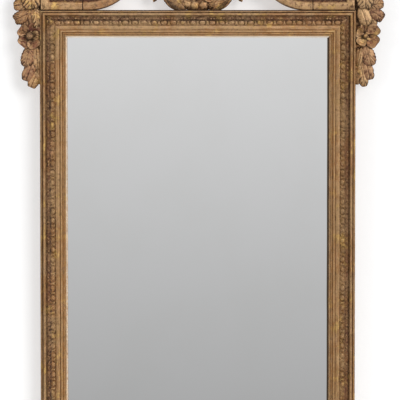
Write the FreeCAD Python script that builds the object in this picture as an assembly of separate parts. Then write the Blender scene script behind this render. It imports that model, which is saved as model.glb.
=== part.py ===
import FreeCAD
import Part
import math
import os

# A carved and gilded pier mirror: a mitred moulding round a silvered glass plate, with a pierced
# crest of channelled scrolls, a laurel wreath, a ribbon bow and leaf garlands that fall down
# both sides. It hangs on the wall by two D-rings on the back.
# X runs to the right, Z up, and the front faces -Y. The back of the frame is the plane y = 0.
# The origin is the middle of the frame's lower back edge. A height is a distance forward of the back.
# Lengths are in millimetres.

# Frame as a whole
frame_width = 720.0
frame_height = 1160.0

# Widths of the moulding's members, from the outer edge in to the glass
fillet_width = 6.0
ridge_groove_width = 2.0
ridge_width = 7.0
quirk_width = 1.5
tongue_width = 19.0
flat_groove_width = 1.5
flat_width = 7.5
bead_groove_width = 1.5
bead_width = 5.0
cove_width = 7.5
sight_slope_width = 3.5

# What the rebates behind the moulding hold, from the back forward
board_thickness = 7.0
glazing_block_height = 6.6
silvering_thickness = 0.4
glass_thickness = 4.0
glass_rebate_width = 10.0
ledge_width = 14.0

# Rises of the moulding, from the glass forward to the ridge
lip_thickness = 1.2
sight_slope_rise = 4.3
cove_rise = 2.5
bead_rise = 4.0
flat_rise = 2.0
flat_groove_depth = 1.0
tongue_rise = 11.0
ridge_rise = 8.0
side_drop = 11.0
ridge_groove_depth = 2.0
cove_bow = 0.9
tongue_bow = 1.1

# Fits
fit_gap = 0.1
glass_gap = 1.5
board_gap = 0.6
cut_overrun = 5.0

# Backing: glazing blocks, boards, nails and mitre keys
glazing_block_length = 40.0
glazing_block_width = 8.0
glazing_block_foot = 5.0
stile_block_shares = (0.14, 0.38, 0.62, 0.86)
rail_block_shares = (0.28, 0.72)
board_count = 3
nail_shank_radius = 1.1
nail_head_radius = 3.0
nail_head_height = 1.0
nail_length = 20.0
board_nail_shares = (0.22, 0.78)
stile_nail_shares = (0.2, 0.4, 0.6, 0.8)
key_length = 34.0
key_end_width = 14.0
key_waist_width = 8.0
key_depth = 9.0

# Crest: battens, blocks and scrolls
crest_thickness = 24.0
crest_inset = 3.0
block_share = 0.364
scroll_run_share = 0.107
band_share = 0.76
band_border_share = 0.257
channel_depth = 8.0
tail_room = 46.0
scroll_head_share = 0.98
patera_radius = 28.0
patera_rise = 19.0
patera_drop = 14.0
patera_lobes = 8
batten_thickness = 10.0
batten_width = 36.0
batten_shoulder = 4.0
batten_inset = 2.0
batten_rise = 60.0
dowel_radius = 4.0
dowel_length = 40.0
block_dowel_shares = (0.48, 0.76)
wreath_dowel_spacing = 60.0

# Leaves and flowers of the carving
leaf_belly_share = 0.46
leaf_edge_share = 0.3
leaf_rise = 11.0
spine_height = 7.0
flower_notch_share = 0.72
flower_edge_share = 0.45
heart_share = 0.3

# Wreath
wreath_half_width = 96.0
wreath_half_height = 104.0
wreath_centre_rise = 85.0
wreath_leaf_length = 52.0
wreath_leaf_width = 25.0
wreath_core_width = 16.0
wreath_leaves_a_side = 9
wreath_leaf_splay = 20.0
wreath_start_angle = -62.0
wreath_end_angle = 78.0
bouquet_height = 58.0
bouquet_width = 96.0
bouquet_plate_height = 19.0
flower_radius = 21.0
flower_rise = 12.0
flower_lobes = 6

# Ribbon bow and tails
bow_seat_drop = 5.0
knot_radius = 20.0
knot_flat = 4.0
knot_rise = 32.0
knot_edge_share = 0.68
loop_length = 96.0
loop_width = 58.0
loop_band = 15.0
loop_angle = 30.0
loop_height = 14.0
tail_width = 17.0
tail_thickness = 6.0
tail_tip_rise = 20.0
tail_notch = 7.0
tail_reach_shares = (0.19, 0.73, 1.11, 1.23, 1.01)
tail_rise_shares = (0.99, 0.93, 0.72, 0.42, 0.0)

# Garlands, which run from the bow to the corners in front of the scrolls
garland_sag = 5.0
garland_end_rise = 10.0
garland_spine_width = 12.0
garland_stations = 7
garland_leaf_length = 56.0
garland_leaf_width = 25.0
garland_leaf_splay = 24.0

# Side drops, which hang down the outer sides of the stiles
drop_width = 66.0
drop_length = 180.0
drop_head_length = 84.0
drop_back_height = 14.0
drop_spine_width = 34.0
drop_spine_height = 12.0
drop_spine_fall_share = 0.8
drop_spine_head_share = 0.86
drop_leaf_length = 50.0
drop_leaf_width = 24.0
drop_rosette_radius = 27.0
drop_rosette_rise = 13.0
drop_rosette_lobes = 5
drop_rosette_out_share = 0.4
drop_rosette_down_share = 0.31
drop_pin_radius = 1.5
drop_pin_length = 34.0
drop_pin_down_shares = (0.17, 0.45, 0.72)
# Each leaf: root out from the stile, root down from the rail's top, pointing angle, length, width
drop_leaf_shares = (
    (0.1, -0.4, -25.0, 1.0, 1.1),
    (0.2, -0.24, -58.0, 1.1, 1.1),
    (0.12, -0.1, -42.0, 1.0, 1.1),
    (0.3, -0.05, -12.0, 0.86, 0.8),
    (0.24, 0.02, -40.0, 1.15, 0.95),
    (0.14, -0.02, -84.0, 0.95, 0.75),
    (0.38, 0.46, -78.0, 0.98, 1.15),
    (0.18, 0.45, -88.0, 1.0, 0.75),
    (0.3, 0.64, -70.0, 0.95, 1.05),
    (0.14, 0.68, -84.0, 1.0, 0.7),
    (0.24, 0.74, -66.0, 0.98, 0.95),
)

# Hangers
hanger_height = 905.0
strap_width = 20.0
strap_length = 72.0
strap_thickness = 2.5
ring_wire_radius = 2.2
ring_running_gap = 0.06
ring_strap_gap = 0.8
barrel_wall = 2.2
barrel_length = 16.0
ring_inner_width = 26.0
ring_corner_radius = 5.0
ring_leg = 9.0
strap_screw_shares = (0.56, 0.86)

# Slotted screws of the battens and hangers
screw_shank_radius = 2.0
screw_head_radius = 4.0
screw_head_height = 1.8
screw_length = 24.0
screw_slot_width = 1.0
screw_slot_depth = 0.9

# Places worked out from the sizes above
half_width = frame_width / 2
ridge_start = fillet_width + ridge_groove_width
ridge_end = ridge_start + ridge_width
tongue_start = ridge_end + quirk_width
tongue_end = tongue_start + tongue_width
flat_start = tongue_end + flat_groove_width
flat_end = flat_start + flat_width
bead_start = flat_end + bead_groove_width
bead_end = bead_start + bead_width
cove_end = bead_end + cove_width
moulding_width = cove_end + sight_slope_width
glass_rebate = moulding_width - glass_rebate_width
board_rebate = glass_rebate - ledge_width

glass_back = board_thickness + glazing_block_height + silvering_thickness
glass_front = glass_back + glass_thickness
sight_height = glass_front + lip_thickness
cove_low = sight_height + sight_slope_rise
cove_high = cove_low + cove_rise
bead_top = cove_high + bead_rise
flat_height = cove_high + flat_rise
tongue_low = flat_height - flat_groove_depth
tongue_high = tongue_low + tongue_rise
ridge_top = tongue_high + ridge_rise
side_height = ridge_top - side_drop
ridge_foot = side_height - ridge_groove_depth

crest_back = batten_thickness
crest_front = crest_back + crest_thickness
dowel_height = crest_back + (crest_thickness - channel_depth) / 2
block_outer = half_width - crest_inset
side_room = block_outer - wreath_half_width
block_width = block_share * side_room
block_inner = block_outer - block_width
bend_x = block_inner - scroll_run_share * side_room
scroll_left = wreath_half_width + tail_room
scroll_outer_radius = bend_x - scroll_left
band_height = band_share * scroll_outer_radius
band_border = band_border_share * band_height
scroll_bend = scroll_outer_radius - band_height / 2
scroll_neck = scroll_outer_radius - band_height
scroll_head = scroll_head_share * (block_inner - scroll_neck - scroll_left) / 2
batten_lap = board_rebate - batten_shoulder
wreath_top = wreath_centre_rise + wreath_half_height
bow_seat = wreath_top - bow_seat_drop
knot_centre = bow_seat + knot_radius - knot_flat
ring_axis_height = -(strap_thickness + ring_strap_gap + ring_wire_radius)
hanger_x = half_width - board_rebate / 2


def at(x, z, height=0.0):
    # A point x across and z up, at a height forward of the back plane
    return FreeCAD.Vector(x, -height, z)


def line(start, end):
    return Part.LineSegment(start, end).toShape()


def arc(start, middle, end):
    return Part.Arc(start, middle, end).toShape()


def spline(points):
    curve = Part.BSplineCurve()
    curve.interpolate(points)
    return curve.toShape()


def polygon(points):
    return [line(a, b) for a, b in zip(points, points[1:] + points[:1])]


def slab(edges, low, high):
    # A plate between two heights, with an outline drawn in the back plane
    face = Part.Face(Part.Wire(Part.__sortEdges__(edges)))
    face.translate(at(0, 0, low))
    return face.extrude(at(0, 0, high - low))


def box(x0, x1, z0, z1, low, high):
    return slab(polygon([at(x0, z0), at(x1, z0), at(x1, z1), at(x0, z1)]), low, high)


def fused(solids):
    return solids[0].multiFuse(solids[1:]).removeSplitter()


def mirrored(shape):
    return shape.mirror(at(0, 0), FreeCAD.Vector(1, 0, 0))


def turned(shape, angle, x, z):
    # Turned counter-clockwise as seen from the front, then carried to x and z
    shape.rotate(at(0, 0), at(0, 0, 1), angle)
    shape.translate(at(x, z))
    return shape


def cylinder_back(x, z, radius, low, high):
    # A round bar square to the back plane
    return Part.makeCylinder(radius, high - low, at(x, z, low), at(0, 0, 1))


# Moulding

def section_edges(place):
    # The moulding's section: place turns (distance in from the outer edge, height) into a point
    ridge_radius = ridge_width / 2
    bead_radius = bead_width / 2
    tongue_middle = (tongue_start + tongue_end) / 2
    tongue_half = (tongue_high + tongue_low) / 2
    quarter = (tongue_end - tongue_start) / 4
    upper_bow = (tongue_half + tongue_high) / 2 + tongue_bow
    lower_bow = (tongue_half + tongue_low) / 2 - tongue_bow
    cove_middle = ((bead_end + cove_end) / 2, (cove_high + cove_low) / 2 - cove_bow)
    steps = [
        ((0, side_height),),
        ((fillet_width, side_height),),
        ((fillet_width, ridge_foot),),
        ((ridge_start, ridge_foot),),
        ((ridge_start, ridge_top - ridge_radius),),
        ((ridge_start + ridge_radius, ridge_top), (ridge_end, ridge_top - ridge_radius)),
        ((ridge_end, tongue_high),),
        ((tongue_start, tongue_high),),
        ((tongue_middle - quarter, upper_bow), (tongue_middle, tongue_half)),
        ((tongue_middle + quarter, lower_bow), (tongue_end, tongue_low)),
        ((flat_start, tongue_low),),
        ((flat_start, flat_height),),
        ((flat_end, flat_height),),
        ((flat_end, cove_high),),
        ((bead_start, cove_high),),
        ((bead_start, bead_top - bead_radius),),
        ((bead_start + bead_radius, bead_top), (bead_end, bead_top - bead_radius)),
        ((bead_end, cove_high),),
        (cove_middle, (cove_end, cove_low)),
        ((moulding_width, sight_height),),
        ((moulding_width, glass_front),),
        ((glass_rebate, glass_front),),
        ((glass_rebate, board_thickness),),
        ((board_rebate, board_thickness),),
        ((board_rebate, 0),),
        ((0, 0),),
    ]
    edges = []
    here = (0, 0)
    for step in steps:
        there = step[-1]
        if len(step) == 1:
            edges.append(line(place(*here), place(*there)))
        else:
            edges.append(arc(place(*here), place(*step[0]), place(*there)))
        here = there
    return edges


def bottom_rail_blank():
    # The section drawn across the rail's left end, carried along X and mitred at both ends
    section = section_edges(lambda width, height: at(-half_width, width, height))
    bar = Part.Face(Part.Wire(section)).extrude(FreeCAD.Vector(frame_width, 0, 0))
    inner = half_width - moulding_width
    mitre = [at(-half_width, 0), at(half_width, 0), at(inner, moulding_width), at(-inner, moulding_width)]
    return bar.common(slab(polygon(mitre), -cut_overrun, ridge_top + cut_overrun))


def left_stile_blank():
    section = section_edges(lambda width, height: at(width - half_width, 0, height))
    bar = Part.Face(Part.Wire(section)).extrude(at(0, frame_height))
    inner = moulding_width - half_width
    mitre = [
        at(-half_width, 0),
        at(-half_width, frame_height),
        at(inner, frame_height - moulding_width),
        at(inner, moulding_width),
    ]
    return bar.common(slab(polygon(mitre), -cut_overrun, ridge_top + cut_overrun))


def mitre_key(gap):
    # A bow-tie key across the lower left mitre, let into the back
    half = key_length / 2 + gap
    end = key_end_width / 2 + gap
    waist = key_waist_width / 2 + gap
    points = [at(-half, -end), at(0, -waist), at(half, -end), at(half, end), at(0, waist), at(-half, end)]
    key = slab(polygon(points), 0, key_depth + gap)
    middle = board_rebate / 2
    return turned(key, -45, middle - half_width, middle)


def four_corners(shape):
    across = [shape, mirrored(shape)]
    up = at(0, frame_height / 2)
    return across + [s.mirror(up, at(0, 1)) for s in across]


# Glass and backing

def glass_plate(low, high):
    margin = glass_rebate + glass_gap
    return box(margin - half_width, half_width - margin, margin, frame_height - margin, low, high)


def glazing_blocks():
    # Bevelled blocks glued in the glass rebate, between the boards and the back of the plate
    low = board_thickness
    high = glass_back - silvering_thickness
    half = glazing_block_length / 2

    def side_block(z):
        x = glass_rebate - half_width
        face = [at(x, z - half, low), at(x + glazing_block_foot, z - half, low)]
        face += [at(x + glazing_block_width, z - half, high), at(x, z - half, high)]
        return Part.Face(Part.Wire(polygon(face))).extrude(at(0, glazing_block_length))

    def rail_block(x):
        face = [at(x - half, glass_rebate, low), at(x - half, glass_rebate + glazing_block_foot, low)]
        face += [at(x - half, glass_rebate + glazing_block_width, high), at(x - half, glass_rebate, high)]
        length = FreeCAD.Vector(glazing_block_length, 0, 0)
        return Part.Face(Part.Wire(polygon(face))).extrude(length)

    sides = [side_block(share * frame_height) for share in stile_block_shares]
    rails = [rail_block((share - 0.5) * frame_width) for share in rail_block_shares]
    middle = at(0, frame_height / 2)
    return sides + [mirrored(s) for s in sides] + rails + [r.mirror(middle, at(0, 1)) for r in rails]


def board_edges():
    # The left and right edge of each backboard
    left = board_rebate + fit_gap - half_width
    right = -left
    pitch = (right - left + board_gap) / board_count
    return [(left + k * pitch, left + (k + 1) * pitch - board_gap) for k in range(board_count)]


def nail(x, z, gap=0.0):
    shank = cylinder_back(x, z, nail_shank_radius + gap, 0, nail_length + gap)
    head = cylinder_back(x, z, nail_head_radius, -nail_head_height, 0)
    return shank if gap else shank.fuse(head).removeSplitter()


def nail_places():
    # Two nails at each end of every board, and a row down each outer board's edge
    inset = board_rebate + ledge_width / 2
    ends = []
    for left, right in board_edges():
        ends += [left + share * (right - left) for share in board_nail_shares]
    places = [(x, z) for x in ends for z in (inset, frame_height - inset)]
    rows = [share * frame_height for share in stile_nail_shares]
    return places + [(x, z) for z in rows for x in (inset - half_width, half_width - inset)]


# Screws

def screw(x, z, seat, gap=0.0):
    # A slotted screw driven forward from the back, its head on a seat at the given height
    shank = cylinder_back(x, z, screw_shank_radius + gap, seat, seat + screw_length + gap)
    if gap:
        return shank
    head = cylinder_back(x, z, screw_head_radius, seat - screw_head_height, seat)
    slot_top = seat - screw_head_height
    slot = box(
        x - screw_head_radius - cut_overrun,
        x + screw_head_radius + cut_overrun,
        z - screw_slot_width / 2,
        z + screw_slot_width / 2,
        slot_top - cut_overrun,
        slot_top + screw_slot_depth,
    )
    return shank.fuse(head).removeSplitter().cut(slot)


# Crest: battens, dowels, blocks and scrolls

def batten_centres():
    side = block_inner + batten_inset + batten_width / 2
    return (-side, 0.0, side)


def batten(x, gap=0.0):
    half = batten_width / 2 + gap
    foot = frame_height - batten_lap - gap
    return box(x - half, x + half, foot, frame_height + batten_rise, -gap, batten_thickness + gap)


def batten_screw_places():
    low = frame_height - batten_lap / 2
    high = frame_height + batten_rise / 2
    return [(x, z) for x in batten_centres() for z in (low, high)]


def dowel(x, gap=0.0):
    start = at(x, frame_height - dowel_length / 2 - gap, dowel_height)
    return Part.makeCylinder(dowel_radius + gap, dowel_length + gap + gap, start, at(0, 1))


def dowel_centres():
    block = [block_inner + share * block_width for share in block_dowel_shares]
    right = block + [(bend_x + block_inner) / 2]
    wreath = wreath_dowel_spacing / 2
    return [-x for x in right] + [-wreath, wreath] + right


def bend_arc(radius, up):
    # A quarter round from the end of the straight run up to the side towards the wreath
    diagonal = radius * math.sqrt(0.5)
    return arc(at(bend_x, up - radius), at(bend_x - diagonal, up - diagonal), at(bend_x - radius, up))


def scroll_body():
    # A straight run, a quarter bend, a round head and a hollow neck back to the top of the run
    up = frame_height + scroll_outer_radius
    top = frame_height + band_height
    head_x = scroll_left + scroll_head
    head_right = head_x + scroll_head
    neck_x = head_right + scroll_neck
    hollow = scroll_neck * math.sqrt(0.5)
    edges = [
        line(at(block_inner, frame_height), at(bend_x, frame_height)),
        bend_arc(scroll_outer_radius, up),
        arc(at(scroll_left, up), at(head_x, up + scroll_head), at(head_right, up)),
        arc(at(head_right, up), at(neck_x - hollow, up - hollow), at(neck_x, top)),
        line(at(neck_x, top), at(block_inner, top)),
        line(at(block_inner, top), at(block_inner, frame_height)),
    ]
    return slab(edges, crest_back, crest_front)


def scroll_channel():
    # The sunk channel follows the run and the bend, and ends under the patera
    half = band_height / 2 - band_border
    up = frame_height + scroll_outer_radius
    middle = frame_height + band_height / 2
    end_x = block_inner + cut_overrun
    outer = bend_x - scroll_bend - half
    inner = bend_x - scroll_bend + half
    edges = [
        line(at(end_x, middle - half), at(bend_x, middle - half)),
        bend_arc(scroll_bend + half, up),
        line(at(outer, up), at(inner, up)),
        bend_arc(scroll_bend - half, up),
        line(at(bend_x, middle + half), at(end_x, middle + half)),
        line(at(end_x, middle + half), at(end_x, middle - half)),
    ]
    return slab(edges, crest_front - channel_depth, crest_front + cut_overrun)


def right_scroll():
    # The scroll with its sunk channel and the patera carved on its round head
    x = (scroll_left + scroll_head + bend_x - scroll_bend) / 2
    z = frame_height + scroll_outer_radius - patera_drop
    patera = flower(x, z, patera_radius, patera_lobes, crest_front - channel_depth, patera_rise)
    return fused([scroll_body().cut(scroll_channel()), patera])


def right_block():
    # The square corner block, whose channel runs on into the scroll
    top = frame_height + band_height
    body = box(block_inner, block_outer, frame_height, top, crest_back, crest_front)
    channel = box(
        block_inner - cut_overrun,
        block_outer - band_border,
        frame_height + band_border,
        top - band_border,
        crest_front - channel_depth,
        crest_front + cut_overrun,
    )
    return body.cut(channel)


# Carved leaves, flowers and ribbons

def domed(plate, x, z, span, base, rise, edge_share):
    # The part of a plate under a dome that is rise high in the middle and lower at half the span
    fall = rise * (1 - edge_share)
    radius = (span / 2) ** 2 / (2 * fall) + fall / 2
    return plate.common(Part.makeSphere(radius, at(x, z, base + rise - radius)))


def leaf(x, z, angle, length, width, base, rise=leaf_rise):
    # A pointed oval leaf with a domed face, from its root at x and z
    belly = leaf_belly_share * length
    root = at(0, 0)
    tip = at(length, 0)
    edges = [arc(root, at(belly, width / 2), tip), arc(tip, at(belly, -width / 2), root)]
    plate = slab(edges, base, base + rise)
    return turned(domed(plate, length / 2, 0, length, base, rise, leaf_edge_share), angle, x, z)


def flower(x, z, radius, lobes, base, rise):
    # A domed flower with round lobes and a ball for its heart
    edges = []
    notch = flower_notch_share * radius
    for k in range(lobes):
        turn = [2 * math.pi * (k + part) / lobes for part in (0, 0.5, 1)]
        reach = [notch, radius, notch]
        edges.append(arc(*[at(r * math.cos(t), r * math.sin(t)) for r, t in zip(reach, turn)]))
    plate = domed(slab(edges, base, base + rise), 0, 0, radius + radius, base, rise, flower_edge_share)
    heart = Part.makeSphere(heart_share * radius, at(0, 0, base + rise))
    return turned(plate.fuse(heart).removeSplitter(), 0, x, z)


def strip(points, width, low, high, notch=0.0):
    # A flat ribbon of even width along smooth points, with a swallow-tail notch at its far end
    sides = ([], [])
    count = len(points)
    for k in range(count):
        before = points[max(k - 1, 0)]
        after = points[min(k + 1, count - 1)]
        along = after.sub(before).normalize()
        across = FreeCAD.Vector(-along.z, 0, along.x).multiply(width / 2)
        sides[0].append(points[k].add(across))
        sides[1].append(points[k].sub(across))
    end = points[-1].sub(along.multiply(notch))
    edges = [spline(sides[0]), spline(sides[1]), line(sides[0][0], sides[1][0])]
    edges += [line(sides[0][-1], end), line(end, sides[1][-1])]
    return slab(edges, low, high)


# Wreath

def oval(half_x, half_z, centre):
    # An ellipse takes its longer half axis first
    side = FreeCAD.Vector(half_x, 0, 0).add(centre)
    top = at(0, half_z).add(centre)
    axes = (top, side) if half_z > half_x else (side, top)
    return Part.Ellipse(*axes, centre).toShape()


def wreath_core():
    centre = at(0, frame_height + wreath_centre_rise)
    plates = []
    half_leaf = wreath_leaf_width / 2
    for inset in (half_leaf, half_leaf + wreath_core_width):
        edge = oval(wreath_half_width - inset, wreath_half_height - inset, centre)
        plates.append(slab([edge], crest_back, crest_back + spine_height))
    return plates[0].cut(plates[1])


def wreath_leaves():
    # Leaves climb both sides of the oval from its foot and splay out and in by turns
    leaves = []
    inset = wreath_leaf_width / 2 + wreath_core_width / 2
    reach = wreath_half_width - inset
    rise = wreath_half_height - inset
    last = wreath_leaves_a_side - 1
    for k in range(wreath_leaves_a_side):
        turn = math.radians(wreath_start_angle + (wreath_end_angle - wreath_start_angle) * k / last)
        x = reach * math.cos(turn)
        z = frame_height + wreath_centre_rise + rise * math.sin(turn)
        along = math.degrees(math.atan2(rise * math.cos(turn), -reach * math.sin(turn)))
        splay = -wreath_leaf_splay if k % 2 == 0 else wreath_leaf_splay
        # the root lies behind the station, so that the leaf's belly covers it
        back = math.radians(along)
        root = leaf_belly_share * wreath_leaf_length
        place = (x - root * math.cos(back), z - root * math.sin(back))
        leaves.append(leaf(*place, along + splay, wreath_leaf_length, wreath_leaf_width, crest_back))
    return leaves


def bouquet():
    # Flowers on a rounded plate that fills the foot of the wreath
    half = bouquet_width / 2
    foot = frame_height
    edges = [
        line(at(-half, foot), at(half, foot)),
        arc(at(half, foot), at(0, foot + bouquet_height), at(-half, foot)),
    ]
    plate = slab(edges, crest_back, crest_back + bouquet_plate_height)
    base = crest_back + bouquet_plate_height / 2
    low = foot + flower_radius
    places = [(-flower_radius, low), (flower_radius, low), (0, low + flower_radius)]
    return [plate] + [flower(x, z, flower_radius, flower_lobes, base, flower_rise) for x, z in places]


def crest_wreath():
    right = wreath_leaves()
    whole = fused([wreath_core()] + right + [mirrored(s) for s in right] + bouquet())
    reach = frame_width
    trim = box(-reach, reach, frame_height, frame_height + bow_seat, 0, reach)
    return whole.common(trim)


# Ribbon

def ribbon_bow():
    centre = frame_height + knot_centre
    base = crest_back
    disc = cylinder_back(0, centre, knot_radius, base, base + knot_rise)
    span = knot_radius + knot_radius
    knot = domed(disc, 0, centre, span, base, knot_rise, knot_edge_share)
    inner_length = loop_length - loop_band - loop_band
    inner_width = loop_width - loop_band - loop_band

    def lens(length, width, start):
        belly = start + length / 2
        near = at(start, 0)
        far = at(start + length, 0)
        return [arc(near, at(belly, width / 2), far), arc(far, at(belly, -width / 2), near)]

    loop_base = base + tail_thickness + fit_gap
    root = knot_radius / 2
    outer = slab(lens(loop_length, loop_width, root), loop_base, loop_base + loop_height)
    hole = slab(lens(inner_length, inner_width, root + loop_band), base - cut_overrun, base + knot_rise)
    loop = turned(outer.cut(hole), loop_angle, 0, centre)
    flat = box(-frame_width, frame_width, frame_height + bow_seat, centre + frame_width, 0, frame_width)
    return fused([knot, loop, mirrored(loop)]).common(flat)


def right_tail():
    # A ribbon end that falls between the wreath and the scroll to a notched tip
    top = knot_centre - tail_tip_rise
    points = []
    for across, up in zip(tail_reach_shares, tail_rise_shares):
        points.append(at(across * wreath_half_width, frame_height + tail_tip_rise + up * top))
    ribbon = strip(points, tail_width, crest_back, crest_back + tail_thickness, tail_notch)
    clear = knot_radius + fit_gap
    knot_hole = cylinder_back(0, frame_height + knot_centre, clear, 0, crest_front)
    return ribbon.cut(knot_hole)


# Garlands and side drops

def garland_point(share):
    # A sagging line from the side of the bow's knot to the top of the corner block
    end_rise = band_height + garland_end_rise
    sag = garland_sag * 4 * share * (1 - share)
    x = knot_radius + (block_outer - knot_radius) * share
    return at(x, frame_height + knot_centre + (end_rise - knot_centre) * share - sag)


def right_garland():
    # Pairs of leaves on a spine, the last pair ending at the block's outer edge
    base = crest_front
    last = garland_stations - 1
    reach = 1 - garland_leaf_length / (block_outer - knot_radius)
    points = [garland_point(reach * k / last) for k in range(garland_stations)]
    ends = points[1:] + [garland_point(1)]
    under_last = garland_point((reach + 1) / 2)
    solids = [strip(points + [under_last], garland_spine_width, base, base + spine_height)]
    for here, ahead in zip(points, ends):
        step = ahead.sub(here)
        along = math.degrees(math.atan2(step.z, step.x))
        for splay in (-garland_leaf_splay, garland_leaf_splay):
            size = (garland_leaf_length, garland_leaf_width)
            solids.append(leaf(here.x, here.z, along + splay, *size, base))
    knot_hole = cylinder_back(0, frame_height + knot_centre, knot_radius + fit_gap, 0, base + frame_width)
    inside = box(0, block_outer, frame_height, frame_height + frame_width, base, base + frame_width)
    return fused(solids).common(inside).cut(knot_hole)


def right_drop():
    # Leaves and a rosette on a spine that is glued to the stile's outer side
    foot = frame_height - drop_spine_fall_share * drop_length
    head = frame_height + drop_spine_head_share * drop_head_length
    inner = half_width
    top = drop_back_height + drop_spine_height
    outer = inner + drop_spine_width
    waist = inner + drop_spine_width / 2
    low = foot - drop_spine_width / 2
    solids = [
        slab(polygon([at(inner, low), at(waist, low), at(outer, foot), at(outer, head), at(inner, head)]),
             drop_back_height, top)
    ]
    for out, down, angle, length, width in drop_leaf_shares:
        x = inner + out * drop_width
        z = frame_height - down * drop_length
        size = (length * drop_leaf_length, width * drop_leaf_width)
        solids.append(leaf(x, z, angle, *size, top - spine_height))
    x = inner + drop_rosette_out_share * drop_width
    z = frame_height - drop_rosette_down_share * drop_length
    base = top - spine_height
    solids.append(flower(x, z, drop_rosette_radius, drop_rosette_lobes, base, drop_rosette_rise))
    outside = box(inner, inner + frame_width, 0, frame_height + frame_width, 0, frame_width)
    return fused(solids).common(outside)


def drop_pin(down_share, gap=0.0):
    # A pin driven in from the side through the drop's spine into the stile
    z = frame_height - down_share * drop_length
    start = at(half_width + drop_spine_width / 2 + gap, z, drop_back_height + drop_spine_height / 2)
    inward = FreeCAD.Vector(-1, 0, 0)
    return Part.makeCylinder(drop_pin_radius + gap, drop_pin_length + gap + gap, start, inward)


# Hangers

def barrel_centre():
    return at(hanger_x, hanger_height, ring_axis_height)


def right_strap():
    # A screwed strap with the barrel that carries the ring
    half = strap_width / 2
    low = hanger_height - strap_length
    strap = box(hanger_x - half, hanger_x + half, low, hanger_height, -strap_thickness, 0)
    bore = ring_wire_radius + ring_running_gap
    start = barrel_centre().sub(FreeCAD.Vector(barrel_length / 2, 0, 0))
    along = FreeCAD.Vector(1, 0, 0)
    barrel = Part.makeCylinder(bore + barrel_wall, barrel_length, start, along)
    hole_start = start.sub(FreeCAD.Vector(cut_overrun, 0, 0))
    hole = Part.makeCylinder(bore, barrel_length + cut_overrun + cut_overrun, hole_start, along)
    frame_side = box(hanger_x - half, hanger_x + half, low, hanger_height + strap_length, 0, strap_length)
    shape = strap.fuse(barrel).removeSplitter().cut(hole).cut(frame_side)
    for x, z in right_strap_screws():
        shape = shape.cut(cylinder_back(x, z, screw_shank_radius + fit_gap, -strap_thickness - cut_overrun, 0))
    return shape


def right_strap_screws():
    return [(hanger_x, hanger_height - share * strap_length) for share in strap_screw_shares]


def right_ring():
    # A D-ring that hangs from the barrel: a straight pin, two corners, two legs and a half round
    wire = ring_wire_radius
    corner = ring_corner_radius
    bow = ring_inner_width / 2 + wire
    across = FreeCAD.Vector(1, 0, 0)
    toward_wall = FreeCAD.Vector(0, 1, 0)
    centre = barrel_centre()
    pin_half = bow - corner
    pin = Part.makeCylinder(wire, pin_half + pin_half, centre.sub(across * pin_half), across)
    legs = []
    for side in (-1, 1):
        top = centre.add(FreeCAD.Vector(side * bow, 0, -corner - ring_leg))
        legs.append(Part.makeCylinder(wire, ring_leg, top, at(0, 1)))
        pivot = centre.add(FreeCAD.Vector(side * pin_half, 0, -corner))
        bend = Part.makeTorus(corner, wire, FreeCAD.Vector(), toward_wall, -180, 180, 90)
        bend.rotate(FreeCAD.Vector(), toward_wall, bend_turn(bend, side))
        bend.translate(pivot)
        legs.append(bend)
    half_round = Part.makeTorus(bow, wire, FreeCAD.Vector(), toward_wall, -180, 180, 180)
    half_round.rotate(FreeCAD.Vector(), toward_wall, half_turn(half_round))
    half_round.translate(centre.add(FreeCAD.Vector(0, 0, -corner - ring_leg)))
    return fused([pin] + legs + [half_round])


def bend_turn(bend, side):
    # The turn about the wall's normal that brings a quarter ring to the upper left or upper right
    here = bend.CenterOfMass
    now = math.degrees(math.atan2(here.x, here.z))
    return side * 45 - now


def half_turn(half_round):
    # The turn that brings a half ring to hang below its centre
    here = half_round.CenterOfMass
    return 180 - math.degrees(math.atan2(here.x, here.z))


# Assembly

def cut_all(shape, tools):
    near = [t for t in tools if shape.BoundBox.intersect(t.BoundBox)]
    return shape.cut(near) if near else shape


def export(name, solids):
    shape = Part.makeCompound(solids) if len(solids) > 1 else solids[0]
    found = shape.Solids
    good = all(s.isValid() and s.Volume > 0 for s in found)
    print(f"{name}: {len(found)} solids, {shape.Volume / 1000:.1f} cm3, {'valid' if good else 'NOT VALID'}")
    kept = Part.makeCompound(found) if len(found) > 1 else found[0]
    kept.exportStep(f"parts/{name}.step")


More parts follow.
